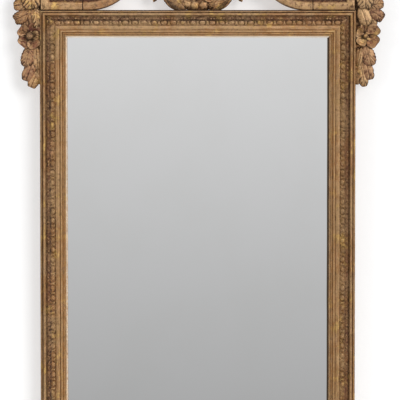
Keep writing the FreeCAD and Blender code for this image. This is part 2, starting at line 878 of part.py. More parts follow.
def main():
    os.makedirs("parts", exist_ok=True)
    nails = nail_places()
    screws = batten_screw_places()
    strap_screws = right_strap_screws() + [(-x, z) for x, z in right_strap_screws()]
    pin_holes = [drop_pin(share, fit_gap) for share in drop_pin_down_shares]
    holes = [nail(x, z, fit_gap) for x, z in nails]
    holes += [screw(x, z, 0, fit_gap) for x, z in screws]
    holes += [screw(x, z, -strap_thickness, fit_gap) for x, z in strap_screws]
    holes += [dowel(x, fit_gap) for x in dowel_centres()]
    holes += pin_holes + [mirrored(p) for p in pin_holes]
    housings = [batten(x, fit_gap) for x in batten_centres()]
    pockets = four_corners(mitre_key(fit_gap))

    bottom = bottom_rail_blank()
    left = left_stile_blank()
    top = bottom.mirror(at(0, frame_height / 2), at(0, 1))
    export("bottom_rail", [cut_all(bottom, holes + pockets)])
    export("top_rail", [cut_all(top, holes + housings + pockets)])
    export("left_stile", [cut_all(left, holes + pockets)])
    export("right_stile", [cut_all(mirrored(left), holes + pockets)])
    export("mitre_keys", four_corners(mitre_key(0)))

    export("mirror_glass", [glass_plate(glass_back, glass_front)])
    export("silvering", [glass_plate(glass_back - silvering_thickness, glass_back)])
    export("glazing_blocks", glazing_blocks())
    margin = board_rebate + fit_gap
    for name, (x0, x1) in zip(("left", "centre", "right"), board_edges()):
        board = box(x0, x1, margin, frame_height - margin, 0, board_thickness)
        export(f"backboard_{name}", [cut_all(board, holes)])
    export("backboard_nails", [nail(x, z) for x, z in nails])

    for name, x in zip(("left", "centre", "right"), batten_centres()):
        export(f"{name}_crest_batten", [cut_all(batten(x), [screw(*p, 0, fit_gap) for p in screws])])
    export("batten_screws", [screw(x, z, 0) for x, z in screws])
    export("crest_dowels", [dowel(x) for x in dowel_centres()])

    pairs = {
        "crest_block": cut_all(right_block(), holes),
        "crest_scroll": cut_all(right_scroll(), holes),
        "ribbon_tail": right_tail(),
        "garland": right_garland(),
        "drop": cut_all(right_drop(), pin_holes),
        "hanger_strap": right_strap(),
        "hanger_ring": right_ring(),
    }
    for name, shape in pairs.items():
        export(f"right_{name}", [shape])
        export(f"left_{name}", [mirrored(shape)])
    export("crest_wreath", [cut_all(crest_wreath(), holes)])
    export("ribbon_bow", [ribbon_bow()])
    pins = [drop_pin(share) for share in drop_pin_down_shares]
    export("drop_pins", pins + [mirrored(p) for p in pins])
    export("hanger_screws", [screw(x, z, -strap_thickness) for x, z in strap_screws])


main()
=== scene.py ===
import math

import bmesh
import bpy
import numpy as np
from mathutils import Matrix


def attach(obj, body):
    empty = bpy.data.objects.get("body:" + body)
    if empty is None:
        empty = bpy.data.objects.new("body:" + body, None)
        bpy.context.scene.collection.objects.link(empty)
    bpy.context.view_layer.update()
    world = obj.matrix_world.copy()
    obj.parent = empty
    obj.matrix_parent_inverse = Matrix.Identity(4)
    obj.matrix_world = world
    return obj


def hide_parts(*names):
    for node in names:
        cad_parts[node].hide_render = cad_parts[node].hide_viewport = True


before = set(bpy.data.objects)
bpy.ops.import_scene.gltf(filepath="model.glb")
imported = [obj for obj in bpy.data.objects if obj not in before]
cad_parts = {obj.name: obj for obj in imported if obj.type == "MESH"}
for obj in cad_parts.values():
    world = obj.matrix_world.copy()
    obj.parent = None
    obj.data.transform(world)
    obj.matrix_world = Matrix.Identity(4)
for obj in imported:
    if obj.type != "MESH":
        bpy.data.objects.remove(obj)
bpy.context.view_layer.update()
print("frame loaded:", len(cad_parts), "nodes")

# carving is worked out in millimetres: x to the right, h forward of the wall, z up
mm = 0.001
railTop = 1160.0  # the crest stands on this height
sharpAngle = 44.0  # edges that turn by more degrees stay sharp
sides = (("left", -1), ("right", 1))
# cavity carries painted shade and dirt, and crown carries painted highlights and wear
marksKept = ("cavity", "crown", "ochre", "bole", "bare")  # what the finishes read off a mesh


def toLinear(red, green, blue):
    # a screen colour 0-255 as the linear colour that a shader takes
    screen = np.array([red, green, blue]) / 255.0
    straight = np.where(screen <= 0.04045, screen / 12.92, ((screen + 0.055) / 1.055) ** 2.4)
    return (*straight.tolist(), 1.0)


def grey(level):
    # a linear colour with all three parts alike
    return level, level, level, 1.0


def smooth(value, low, high):
    # 0 below low, 1 above high, and 3t^2 - 2t^3 between
    t = np.clip((value - low) / (high - low), 0.0, 1.0)
    return t * t * (3.0 - 2.0 * t)


def bell(value, width):
    # a rounded bump of height 1 at zero: exp(-(value / width)^2)
    return np.exp(-(value / width) ** 2)


def circle(count):
    # even steps of angle once round, as a row
    return np.linspace(0, 2 * math.pi, count, endpoint=False)[None, :]


def compass(angle):
    # cosine and sine of an angle in degrees, which runs from x towards z
    return math.cos(math.radians(angle)), math.sin(math.radians(angle))


def mirrored(angle, sign):
    # an angle of the right half as either half has it
    return angle if sign > 0 else 180 - angle


def putIn(name, data):
    # a new object at the origin, linked into the scene
    made = bpy.data.objects.new(name, data)
    bpy.context.scene.collection.objects.link(made)
    return made


class Carving:
    # the closed shells of one piece: grid points, faces, and five marks for the finish
    def __init__(self):
        self.points, self.marks, self.faces = [], [], []
        self.count = 0

    def shell(self, x, h, z, ends="points", **marks):
        # rows of the grid are rings, each closed on itself; both end rings close on a
        # point, on a flat face, or on each other; faces turn outwards by the signed volume
        x, h, z = np.broadcast_arrays(x, h, z)
        rows, cols = x.shape
        spots = np.stack([x, -h, z], axis=-1).reshape(-1, 3)
        values = np.stack([np.broadcast_to(marks.get(key, 0.0), (rows, cols))
                           for key in marksKept], axis=-1).reshape(-1, len(marksKept))
        ring = np.arange(cols)
        after = (ring + 1) % cols
        row = np.arange(rows if ends == "loop" else rows - 1)[:, None]
        here, there = row * cols, (row + 1) % rows * cols
        quads = np.stack([here + ring, here + after, there + after, there + ring], axis=-1)
        groups = [quads.reshape(-1, 4)]
        last = (rows - 1) * cols
        if ends == "points":
            caps = [spots[:cols].mean(axis=0), spots[last:].mean(axis=0)]
            capMarks = [values[:cols].mean(axis=0), values[last:].mean(axis=0)]
            spots, values = np.vstack([spots, caps]), np.vstack([values, capMarks])
            foot, tip = np.full(cols, rows * cols), np.full(cols, rows * cols + 1)
            groups += [np.stack([after, ring, foot], axis=-1),
                       np.stack([last + ring, last + after, tip], axis=-1)]
        if ends == "faces":
            groups += [ring[None, ::-1], last + ring[None]]
        triples = np.concatenate([group[:, [0, k, k + 1]] for group in groups
                                  for k in range(1, group.shape[1] - 1)])
        middle = spots - spots.mean(axis=0)
        volume = np.einsum("ij,ij->", middle[triples[:, 0]],
                           np.cross(middle[triples[:, 1]], middle[triples[:, 2]]))
        if volume < 0:
            groups = [group[:, ::-1] for group in groups]
        self.points.append(spots)
        self.marks.append(values)
        self.faces += [face for group in groups for face in (group + self.count).tolist()]
        self.count += len(spots)

    def mesh(self):
        # all shells as one mesh in metres, with each mark as an attribute of its points
        made = bpy.data.meshes.new("carving")
        made.from_pydata((np.concatenate(self.points) * mm).tolist(), [], self.faces)
        values = np.concatenate(self.marks)
        for column, key in enumerate(marksKept):
            layer = made.attributes.new(key, "FLOAT", "POINT")
            layer.data.foreach_set("value", np.ascontiguousarray(values[:, column], np.float32))
        return made


def stand(name, mesh, finish, node):
    # shades a mesh, gives it its finish, and lets it stand for its solid
    mesh.name = name
    mesh.polygons.foreach_set("use_smooth", np.ones(len(mesh.polygons), bool))
    mesh.set_sharp_from_angle(angle=math.radians(sharpAngle))
    mesh.materials.append(finish)
    piece = putIn(name, mesh)
    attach(piece, "frame")
    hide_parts(node)


class Wire:
    # a socket that takes part in sums: each operator adds one Math node
    def __init__(self, paint, socket):
        self.paint, self.socket = paint, socket

    def sum(self, operation, first, second):
        return self.paint.node("ShaderNodeMath", {"operation": operation}, {0: first, 1: second})

    def __add__(self, other):
        return self.sum("ADD", self, other)

    def __radd__(self, other):
        return self.sum("ADD", other, self)

    def __sub__(self, other):
        return self.sum("SUBTRACT", self, other)

    def __rsub__(self, other):
        return self.sum("SUBTRACT", other, self)

    def __mul__(self, other):
        return self.sum("MULTIPLY", self, other)

    def __rmul__(self, other):
        return self.sum("MULTIPLY", other, self)


class Paint:
    # a node tree under construction
    def __init__(self, owner):
        owner.use_nodes = True
        self.owner, self.tree = owner, owner.node_tree
        self.tree.nodes.clear()

    def node(self, kind, settings=None, sockets=None, out=0):
        # any node: its settings first, a ramp's stops among them, then its values or links
        made = self.tree.nodes.new(kind)
        for key, value in (settings or {}).items():
            if key == "stops":
                ramp = made.color_ramp
                while len(ramp.elements) < len(value):
                    ramp.elements.new(1.0)
                for element, (place, colour) in zip(ramp.elements, value):
                    element.position, element.color = place, colour
            else:
                setattr(made, key, value)
        for key, value in (sockets or {}).items():
            if isinstance(value, Wire):
                self.tree.links.new(value.socket, made.inputs[key])
            else:
                made.inputs[key].default_value = value
        return Wire(self, made.outputs[out]) if made.outputs else None

    def mark(self, key):
        # what a mesh carries under this name
        return self.node("ShaderNodeAttribute", {"attribute_name": key}, out="Fac")

    def noise(self, place, scale, detail=2.0, roughness=0.5):
        # cloudy values about a half
        return self.node("ShaderNodeTexNoise", {}, {"Vector": place, "Scale": scale,
                         "Detail": detail, "Roughness": roughness}, out="Fac")

    def step(self, value, low, high):
        # smooth rise from 0 at low to 1 at high
        return self.node("ShaderNodeMapRange", {"interpolation_type": "SMOOTHSTEP"},
                         {"Value": value, "From Min": low, "From Max": high})

    def mix(self, share, first, second, blend="MIX"):
        # the first colour, covered or multiplied by the second as far as share says
        return self.node("ShaderNodeMix", {"data_type": "RGBA", "blend_type": blend},
                         {0: share, 6: first, 7: second}, out=2)

    def stretched(self, scale=(1, 1, 1), move=(0, 0, 0)):
        # the piece's own coordinates, pulled out along a grain
        place = self.node("ShaderNodeTexCoord", out="Object")
        return self.node("ShaderNodeMapping", {}, {"Vector": place, "Scale": scale, "Location": move})

    def bump(self, strength, distance, height):
        # a normal tipped by the slope of height
        return self.node("ShaderNodeBump", {}, {"Strength": strength, "Distance": distance,
                         "Height": height})

    def surface(self, **sockets):
        # the one shader of a finish; a socket's spaces are written as underlines
        shader = self.node("ShaderNodeBsdfPrincipled", {},
                           {key.replace("_", " "): value for key, value in sockets.items()})
        self.node("ShaderNodeOutputMaterial", {}, {"Surface": shader})
        return self.owner


def newFinish(name):
    # an empty material to paint
    return Paint(bpy.data.materials.new(name))


# old gilding: tan leaf over ochre and red bole, dirt and painted shade in the hollows, painted highlights on
# the crowns, bare wood behind
gilt = {
    "leaf": toLinear(184, 150, 109), "warm": toLinear(150, 109, 70), "ochre": toLinear(158, 110, 58),
    "olive": toLinear(138, 112, 68), "rose": toLinear(184, 138, 116), "yellow": toLinear(208, 173, 103),
    "bole": toLinear(120, 69, 52), "plum": toLinear(90, 57, 51), "dirtAndShade": toLinear(46, 30, 20),
    "wearAndHighlight": toLinear(204, 171, 128), "gesso": toLinear(238, 226, 210),
    "wood": toLinear(142, 108, 74), "woodDark": toLinear(104, 74, 48),
    "gold": 0.32, "bump": (0.6, 0.0016),
}


def gilding(name, grain, seed, tint, wear=1.0, dusty=0.35):
    # each layer of colour covers the last by a share, which is a step taken on a sum of noises
    # from broad to fine and of the marks that the carving carries
    paint = newFinish(name)
    here = paint.stretched(move=(seed, seed * 0.7, -seed))
    apart = paint.stretched(move=(-seed, seed + 4.0, 2 * seed))
    along = paint.stretched(grain, move=(seed, 0.3 * seed, seed))
    cavity, crown, ochre, bole, bare = (paint.mark(key) for key in marksKept)
    broad = paint.noise(here, 9.0, 3.0, 0.55)
    patch = paint.noise(here, 34.0, 4.0, 0.6)
    other = paint.noise(apart, 52.0, 4.0, 0.62)
    speck = paint.noise(here, 170.0, 4.0, 0.65)
    fine = paint.noise(apart, 560.0, 3.0, 0.6)
    streak = paint.noise(along, 34.0, 4.0, 0.62)

    # the leaf itself, cloudy from warm to olive, rose and yellow
    colour = gilt["leaf"]
    for tone, cloud, low, high, share in (
            ("warm", broad + 0.6 * (patch - 0.5), 0.4, 0.6, 1.0),
            ("olive", other + 0.3 * (speck - 0.5), 0.52, 0.68, 0.6),
            ("rose", streak + 0.3 * (speck - 0.5), 0.5, 0.66, 0.6),
            ("yellow", patch + 0.4 * (streak - 0.5), 0.56, 0.68, 0.75)):
        colour = paint.mix(paint.step(cloud, low, high) * share, colour, gilt[tone])
    colour = paint.mix(ochre * 0.85, colour, gilt["ochre"])
    # rubbed through to the bole; lighter on the crowns as a painted highlight and wear
    rubbed = paint.step(other * 0.3 + speck * 0.4 + streak * 0.3 + 0.13 * bole, 0.54, 0.63)
    colour = paint.mix(rubbed * (0.6 * wear + 0.35 * bole), colour, gilt["bole"])
    clay = paint.mix(paint.step(other, 0.45, 0.6), gilt["bole"], gilt["plum"])
    colour = paint.mix(0.55 * bole, colour, clay)
    bright = crown * paint.step(speck * 0.45 + streak * 0.3 + broad * 0.25, 0.42, 0.6)
    colour = paint.mix(bright * 0.7, colour, gilt["wearAndHighlight"])
    # painted shade and dirt in the hollows, and dirt as specks
    grimeAndShade = paint.step(cavity + 0.8 * (speck - 0.5) + 0.4 * (fine - 0.5), 0.12, 0.85)
    colour = paint.mix(grimeAndShade * 0.93, colour, gilt["dirtAndShade"])
    dust = paint.step(fine * 0.3 + speck * 0.7, 0.47, 0.62)
    colour = paint.mix(dust * dusty, colour, gilt["dirtAndShade"])
    cloud = paint.step(broad * 0.4 + other * 0.4 + streak * 0.2, 0.4, 0.6) * 0.3 + 0.85
    cloud = paint.node("ShaderNodeCombineXYZ", {}, {0: cloud, 1: cloud, 2: cloud})
    colour = paint.mix(1.0, paint.mix(1.0, colour, cloud, "MULTIPLY"), tint, "MULTIPLY")
    # gesso where a crown is over 1, and bare wood on the backs
    colour = paint.mix(paint.step(crown + 0.3 * (speck - 0.5), 1.1, 1.4), colour, gilt["gesso"])
    plank = paint.mix(paint.step(streak, 0.35, 0.68), gilt["wood"], gilt["woodDark"])
    plank = paint.mix(0.5 * paint.step(patch, 0.5, 0.72), plank, gilt["woodDark"])
    colour = paint.mix(bare, colour, plank)

    gold = (1.0 - bare) * (1.0 - grimeAndShade) * (1.0 - 0.7 * rubbed)
    return paint.surface(Base_Color=colour, Metallic=gold * gilt["gold"], Specular_IOR_Level=0.2,
                         Roughness=0.66 - 0.2 * gold + 0.18 * (fine - 0.5),
                         Normal=paint.bump(*gilt["bump"], speck * 0.55 + fine * 0.3 + streak * 0.35))


giltRail = gilding("gilt_rail", (1.2, 16, 16), 0.0, (1.04, 1.03, 1.02, 1))
giltStile = gilding("gilt_stile", (16, 16, 1.2), 3.1, (0.82, 0.79, 0.73, 1))
giltCarved = gilding("gilt_carved", (2, 14, 14), 5.7, (1.12, 1.1, 1.07, 1), wear=1.3, dusty=0.55)
print("gilding mixed")


# the moulding on all four sides; the painted shade on the sight edge and on the band differs on the left, 1,
# and the right, -1
moulding = {
    "width": 720.0, "height": railTop, "backGap": 0.3, "sideLow": 10.0, "stepEnd": 7.65, "faceLow": 19.5,
    "bandStart": 17.0, "bandEnd": 34.0, "bandTop": 37.6, "bandLow": 27.0, "bandFloor": 20.0,
    "noseStart": 59.6, "noseFull": 60.2, "noseLow": 18.4, "cornerReach": 30.5, "wave": 0.22,
    "railColumns": 640, "railTongues": 28, "stileColumns": 900, "stileTongues": 48, "stileStepDark": 0.2,
    "sightShadeBySide": {1: 0.26, -1: 1.0}, "bandShadeKept": {1: 0.9, -1: 0.5},
    "seed": {"top_rail": railTop / 700, "bottom_rail": 0.0, "left_stile": 3.0, "right_stile": 1.0},
}


def mouldingSection():
    # the section from the outer edge in to the glass and back through the rebates, as
    # runs of (distance in, height); the band is the chord less a sine, so it swells, then hollows
    m = moulding
    runs = []

    # cavity paints shade and dirt into each groove and step, darkest in the low step where the crest meets
    # the top rail; crown paints highlights and wear on the ridge, fillet, flat, beads and lip, and over 1 the
    # worn gesso of the nose
    def run(ws, hs, cavity=0.0, crown=0.0, ochre=0.0, bare=0.0, band=0.0):
        rows = np.broadcast_arrays(ws, hs, cavity, crown, ochre, bare, band)
        runs.append(np.stack(rows, axis=-1).astype(float))

    turn = np.linspace(math.pi, 0.0, 13)
    t = np.linspace(0.0, 1.0, 27)
    back = m["backGap"]
    run([0, 0], [back, 5], bare=1.0)
    run([0, 0], [8, 27.6], cavity=0.42, ochre=0.7)  # outer side
    run([0, 0.3, 2.2], [28.6, 29.6, 29.8], cavity=[0.8, 1.0, 1.0])  # low step
    run([2.4, 2.5, 2.9], [30.5, 33.6, 34.6], cavity=[0.9, 0.3, 0.0], crown=[0, 0.3, 0.8])
    run([3.6, 4.5, 4.9], [35.0, 34.8, 34.0], cavity=[0, 0.0, 0.3], crown=[0.9, 0.7, 0])  # fillet
    run([5.2, 6.3, 7.6], [32.0, 32.0, 33.8], cavity=0.55)
    run(10.6 + 2.8 * np.cos(turn), 40.8 + 3.8 * np.sin(turn), crown=0.35 * np.sin(turn) ** 2,
        cavity=0.1 + 0.35 * (1 - np.sin(turn)))  # ridge
    run([13.6, 14.0, 16.2], [39, 36.6, 36.8], cavity=[0.45, 0.6, 0.4])
    run(m["bandStart"] + (m["bandEnd"] - m["bandStart"]) * t,
        m["bandTop"] - (m["bandTop"] - m["bandLow"]) * (t - 0.08 * np.sin(2 * math.pi * t)),
        band=t, cavity=0.3 * (1 - smooth(t, 0, 0.14)))
    run([34.3, 35.0], [26.4, 26.6], cavity=0.5)
    run([35.4, 36.0, 40.0, 43.8, 44.4], [27.4, 28, 28.3, 28, 27.4],
        crown=[0.3, 0.7, 0.6, 0.7, 0.3], cavity=[0.25, 0, 0, 0, 0.25])  # flat
    run([44.9, 45.5], [26.6, 26.6], cavity=0.2)
    bead, smallBead = turn[1:-1], turn[1:-1:2]
    run(48.3 + 2.4 * np.cos(bead), 27.3 + 2.6 * np.sin(bead), crown=np.sin(bead), ochre=0.25)
    run([50.9, 51.9], [25.8, 25.6], cavity=0.3, ochre=0.9)
    run(53.5 + 1.5 * np.cos(smallBead), 25.0 + 1.3 * np.sin(smallBead), ochre=0.45,
        crown=0.8 * np.sin(smallBead))
    run([55.3, 55.9], [23.6, 23.4], cavity=0.5, ochre=0.8)
    run([56.3, 57.2, 58.4], [23.6, 23.4, 22.6], crown=[0.6, 1.0, 0.9])  # lip
    run([58.8, 59.1], [21.4, 20.5], crown=0.6)
    run([59.3, 60.0, 61.6, 62.3], [20.2, 20.1, 19.7, 18.9], crown=[1.3, 1.6, 1.6, 1.5])  # gesso nose
    run([62.3, 57.0, 52.0], [18.05, 18.05, 18.05], cavity=0.6)
    run([52.0, 52.0, 45.0, 38.0], [16, 7, 7, 7], bare=1.0)
    run([38.0, 38.0, 26.0, 13.0], [5, back, back, back], bare=1.0)
    return np.concatenate(runs).T


# the carving of the band, whose width counts as long
tongue = {
    "pitch": 22.0, "long": 20.0, "radius": 4.9, "centre": 14.9, "stretch": 1.4, "cutWide": 1.2,
    "pairApart": 3.4, "pairAt": 2.9, "pairRadius": 1.8, "eyeAt": 19.3, "eyeRadius": 1.0,
    "domeUp": 2.0, "dartUp": 1.9, "pairUp": 2.0, "cutDeep": 1.5, "rootDeep": 0.8, "eyeDeep": 1.8,
    "chatterUp": 0.65, "chatterDark": 0.36,
}


def tongueRelief(along, across, seed):
    # lamb's tongue: r is the distance from a tongue's middle; a dome fills r < radius inside a
    # round cut, a pair of small bumps tops it, and a dart that widens downwards stands between
    # two tongues; each tongue is cut a little differently
    c = tongue
    q = across * c["long"]
    which = np.floor(along / c["pitch"])
    hand = np.sin(which * 12.99 + seed) * 0.5 + np.sin(which * 4.13 + 2 * seed) * 0.5
    other = np.sin(which * 7.77 + 3 * seed)
    local = (along / c["pitch"] - which - 0.5) * c["pitch"] - 0.8 * hand
    radius = c["radius"] * (1 + 0.08 * other)
    r = np.hypot(local / c["stretch"], q - c["centre"] - 0.5 * hand)
    dome = np.sqrt(np.clip(1 - (r / (radius - 0.5)) ** 2, 0.0, 1.0))
    ring = bell(r - radius - 0.4, c["cutWide"]) * smooth(q, 8.0, 11.5) * (0.75 + 0.4 * other)
    pair = np.hypot(np.abs(local) - c["pairApart"], q - c["pairAt"] - 0.6 * other)
    pair = bell(pair, c["pairRadius"]) * (0.85 + 0.45 * hand)
    beside = c["pitch"] / 2 - np.abs(local)
    spread = 0.6 + 0.34 * np.maximum(q - 9.5, 0.0)
    dart = 1 - smooth(beside, 0.5 * spread, 1.2 * spread)
    dart = dart * smooth(q, 9.0, 12.0) * (1 - smooth(q, 18.2, 19.4))
    eye = bell(np.hypot(beside, q - c["eyeAt"]), c["eyeRadius"])
    root = (1 - smooth(q, 8.5, 11.5)) * (0.7 + 0.3 * smooth(q, 4.5, 6.5))
    relief = c["domeUp"] * dome + c["dartUp"] * dart + c["pairUp"] * pair
    relief = relief - c["cutDeep"] * ring - c["rootDeep"] * root
    relief = (1 + 0.3 * hand) * relief - c["eyeDeep"] * eye
    ground = smooth(r - radius, 0.2, 1.2) * smooth(q, 8.0, 11.0) * (1 - smooth(q, 18.0, 19.4))
    # cavity paints shade and dirt into the round cut, the eye, the ground and the root hollow, less on the
    # dome and dart; crown paints highlights on the dome, dart and pair; chatter darkens its own low spots as
    # painted shade
    cavity = 0.5 * ring + 0.8 * eye - 0.6 * dome + 0.4 * ground
    cavity = cavity + (0.58 + 0.2 * hand) * root * (1 - np.clip(pair, 0, 1)) - 1.1 * dart
    crown = np.clip((0.55 + 0.3 * hand) * dome ** 2 + 1.0 * dart + (1.25 - 0.4 * other) * pair, 0, 1)
    chatter = np.sin(1.7 * along + 2.1 * q + seed) * np.sin(2.9 * q - 0.8 * along)
    chatter = chatter + 0.7 * np.sin(0.63 * along - 1.3 * q) * np.sin(3.7 * along + 0.4 * q)
    edge = smooth(across, 0.0, 0.04) * (1 - smooth(across, 0.95, 1.0))
    relief = relief + c["chatterUp"] * chatter
    return relief * edge, np.clip(cavity - c["chatterDark"] * chatter, 0, 1) * edge, crown * edge


corner = {"fanFrom": 7.0, "reach": 16.0, "scallop": 1.6, "ribs": 17.0}


def cornerRelief(side, down, across):
    # a leaf over the mitre: fine ribs fan out from the outer corner as the cosine of the angle,
    # waver a little, and end on a scalloped arc with a dark cut round it
    fan = np.arctan2(side, down + corner["fanFrom"])
    reach = np.hypot(side, down) - corner["reach"] - corner["scallop"] * np.abs(np.cos(5.0 * fan))
    ribs = np.cos(corner["ribs"] * fan + 0.6 * np.sin(0.45 * down)) * smooth(down + np.abs(side), 2.0, 7.0)
    body = 1 - smooth(reach, -0.8, 0.6)
    cut = bell(reach - 0.4, 1.1)
    chatter = np.sin(0.9 * side + 0.3 * down) * np.sin(0.8 * down - 0.5 * side)
    edge = smooth(across, 0.0, 0.05) * (1 - smooth(across, 0.93, 1.0))
    relief = body * (0.6 + 0.6 * ribs) - 0.9 * cut + 0.6 * chatter
    # painted shade in the cut round the leaf, between its ribs and along the top of the band; painted
    # highlights on the ribs
    dark = body * (0.15 - 0.25 * ribs) + 0.35 * cut + 0.35 * (1 - smooth(across, 0.2, 0.5)) - 0.3 * chatter
    return relief * edge, np.clip(dark, 0, 1) * edge, np.clip(body * ribs + 0.3 * chatter, 0, 1) * edge


def mouldingLength(longSide, columns, tongues, seed, sightShade=0.0, stepDark=1.0, bandShadeKept=1.0):
    # the section carried along one side and cut on both mitres: place = lerp from the
    # section's distance in to the far side's; relief pushes out square to the section
    m = moulding
    w, h, cavity, crown, ochre, bare, band = mouldingSection()
    t = np.linspace(0.0, 1.0, columns)[:, None]
    place = w + t * (longSide - 2.0 * w)
    slope = np.stack([np.gradient(w), np.gradient(h)])
    slope /= np.hypot(*slope) + 1e-9
    onBand = (w > m["bandStart"] - 0.01) & (w < m["bandEnd"] + 0.01) & (h > m["bandFloor"])
    start = (longSide - tongues * tongue["pitch"]) / 2
    fromEnd = np.minimum(place, longSide - place)
    inLeaf = 1 - smooth(fromEnd, m["cornerReach"] - 2.0, m["cornerReach"])
    carved = tongueRelief(place - start, band[None, :], seed)
    leaves = cornerRelief((fromEnd - w) / math.sqrt(2), (fromEnd + w - 2 * m["bandStart"]) / math.sqrt(2),
                          band[None, :])
    relief, dark, light = ((plain * (1 - inLeaf) + leafy * inLeaf) * onBand
                           for plain, leafy in zip(carved, leaves))
    # where the band keeps less than all of its painted shade, as on the right stile, the rest becomes a
    # painted highlight that lifts the shade falling on it
    dark = dark * bandShadeKept
    light = np.clip(light + 0.7 * (1 - bandShadeKept) * smooth(band, 0.3, 0.55) * onBand, 0, 1)
    ends = smooth(t, 0.0, 0.05) * (1 - smooth(t, 0.95, 1.0))
    hand = m["wave"] * ends * (np.sin(place / 37 + seed) + 0.6 * np.sin(place / 11.3 + 2 * seed))
    seen = (h > m["faceLow"]) & (w > 0.5)
    nose = smooth(w, m["noseStart"], m["noseFull"]) * (h > m["noseLow"]) * sightShade  # painted shade hides its gesso
    # the low step's painted shade is full on the rails and weaker on the stiles
    cavity = cavity * np.where((w < m["stepEnd"]) & (h > m["sideLow"]), stepDark, 1.0)
    inward = w - slope[1] * relief + 0.5 * hand * seen
    height = h + slope[0] * relief + hand * seen
    return place, inward, height, {
        "cavity": np.clip(cavity + dark + nose, 0, 1), "crown": np.clip(crown + light, 0, 1.6) * (1 - nose),
        "ochre": ochre[None, :], "bare": bare[None, :],
        "bole": (0.45 * (1 - smooth(band, 0.3, 0.6)) * onBand)[None, :]}


def mouldingPieces():
    # rails run along x and stiles along z; sign points in from the outer edge
    m = moulding
    halfWidth, tall = m["width"] / 2, m["height"]
    for name, base, sign in (("top_rail", tall, -1), ("bottom_rail", 0.0, 1)):
        place, inward, height, marks = mouldingLength(
            m["width"], m["railColumns"], m["railTongues"], m["seed"][name])
        carving = Carving()
        carving.shell(place - halfWidth, height, base + sign * inward, ends="faces", **marks)
        stand("carved_" + name, carving.mesh(), giltRail, name)
    for name, sign in (("left_stile", 1), ("right_stile", -1)):
        place, inward, height, marks = mouldingLength(
            tall, m["stileColumns"], m["stileTongues"], m["seed"][name], m["sightShadeBySide"][sign],
            m["stileStepDark"], m["bandShadeKept"][sign])
        carving = Carving()
        carving.shell(sign * (inward - halfWidth), height, place, ends="faces", **marks)
        stand("carved_" + name, carving.mesh(), giltStile, name)


mouldingPieces()
print("moulding carved")

# leaves, balls and flowers, which the carvings share
dice = np.random.default_rng(11)
leafCut = {"rings": 19, "front": 15, "back": 5, "thick": 3.0, "rise": 4.2, "veins": 6.0,
           "veinDepth": 1.1, "slant": 0.5, "rib": 1.6}


def lay(carving, x, z, h, angle, out, across, up, **marks):
    # a grid of places out, across and up from a root, turned by angle about the root
    c, s = compass(angle)
    carving.shell(x + c * out - s * across, h + up, z + s * out + c * across, **marks)


def leafGrid(first, rings, front, back):
    # u runs from root to tip as 1 - cos, so it is closer at both ends; v crosses the front and
    # comes back along the rear
    u = (0.5 - 0.5 * np.cos(math.pi * np.linspace(first, 1 - first, rings)))[:, None]
    isFront = np.concatenate([np.ones(len(front)), np.zeros(len(back))])[None, :]
    return u, np.concatenate([front, back])[None, :], isFront


def leavesInThree(heading, splay, centreUp):
    # tilt and height of two leaves splayed to either side and of a raised one between them
    for away, high in ((splay, 0.0), (-splay, 0.0), (0.0, centreUp)):
        yield heading + away + dice.uniform(-4, 4), high, bool(away)


def leaf(carving, x, z, h, angle, length, width, belly=0.5, point=1.2, rise=leafCut["rise"], lift=0.0,
         bow=0.0, veins=leafCut["veins"], deep=1.0, scallop=0.05, fork=0.0, bole=0.0, shine=0.8,
         thick=leafCut["thick"], fine=1):
    # half width swells as u^a (1-u)^b and is nicked where each vein meets the edge; the front
    # is a dome cut by a midrib and slanting veins, the back is flat; lift tips it up, bow
    # arches it, fork draws the middle of the tip back
    c = leafCut
    front = np.linspace(-1, 1, c["front"] * fine)
    back = np.linspace(1, -1, c["back"] + 2)[1:-1]
    u, v, isFront = leafGrid(0.045, c["rings"] * fine, front, back)
    a, b = belly * point, (1 - belly) * point
    swell = (u / belly) ** a * ((1 - u) / (1 - belly)) ** b
    uneven = 0.3 * np.sin(7.0 * u + 0.05 * angle + 2.0 * np.sign(v))
    phase = veins * (u - c["slant"] * np.abs(v) * width / length) + 0.25 + uneven
    edge = veins * (u - c["slant"] * width / length) + 0.25
    nick = bell(edge - np.round(edge), 0.2) * smooth(u, 0.15, 0.35)
    across = width / 2 * swell * v * (1 - scallop * nick)
    rib = bell(v, 0.11)
    vein = bell(phase - np.round(phase), 0.2) * smooth(np.abs(v), 0.12, 0.3)
    vein = vein * (0.65 + 0.35 * np.sin(9.0 * u + 0.1 * angle + 2.6 * np.sign(v)))
    dome = (1 - np.abs(v) ** 2.6) * np.sqrt(swell)
    up = thick * np.sqrt(swell) * 0.55 + rise * dome
    up = up - (c["rib"] * rib + deep * c["veinDepth"] * vein) * swell
    up = isFront * up - (1 - isFront) * thick * 0.4 * (1 - v * v) * swell
    out = u * length - fork * bell(v, 0.4) * smooth(u, 0.6, 1.0)
    up = up + lift * out + bow * np.sin(math.pi * u)
    # cavity paints shade and dirt along the midrib and veins, at the root, round the edges and toward the
    # tip; crown paints a highlight on the dome, scaled by shine
    cavity = np.clip(0.55 * rib + 0.7 * deep * vein + 0.5 * (1 - smooth(u, 0.02, 0.2))
                     + 0.7 * smooth(np.abs(v), 0.8, 1.0) + 0.3 * smooth(u, 0.7, 1.0), 0, 1)
    crown = isFront * np.clip((1.15 * dome * (1 - vein) * (1 - rib) - 0.15) * shine, 0, 1)
    lay(carving, x, z, h, angle, out, across, up, cavity=isFront * cavity, crown=crown, bole=bole,
        bare=1 - isFront)


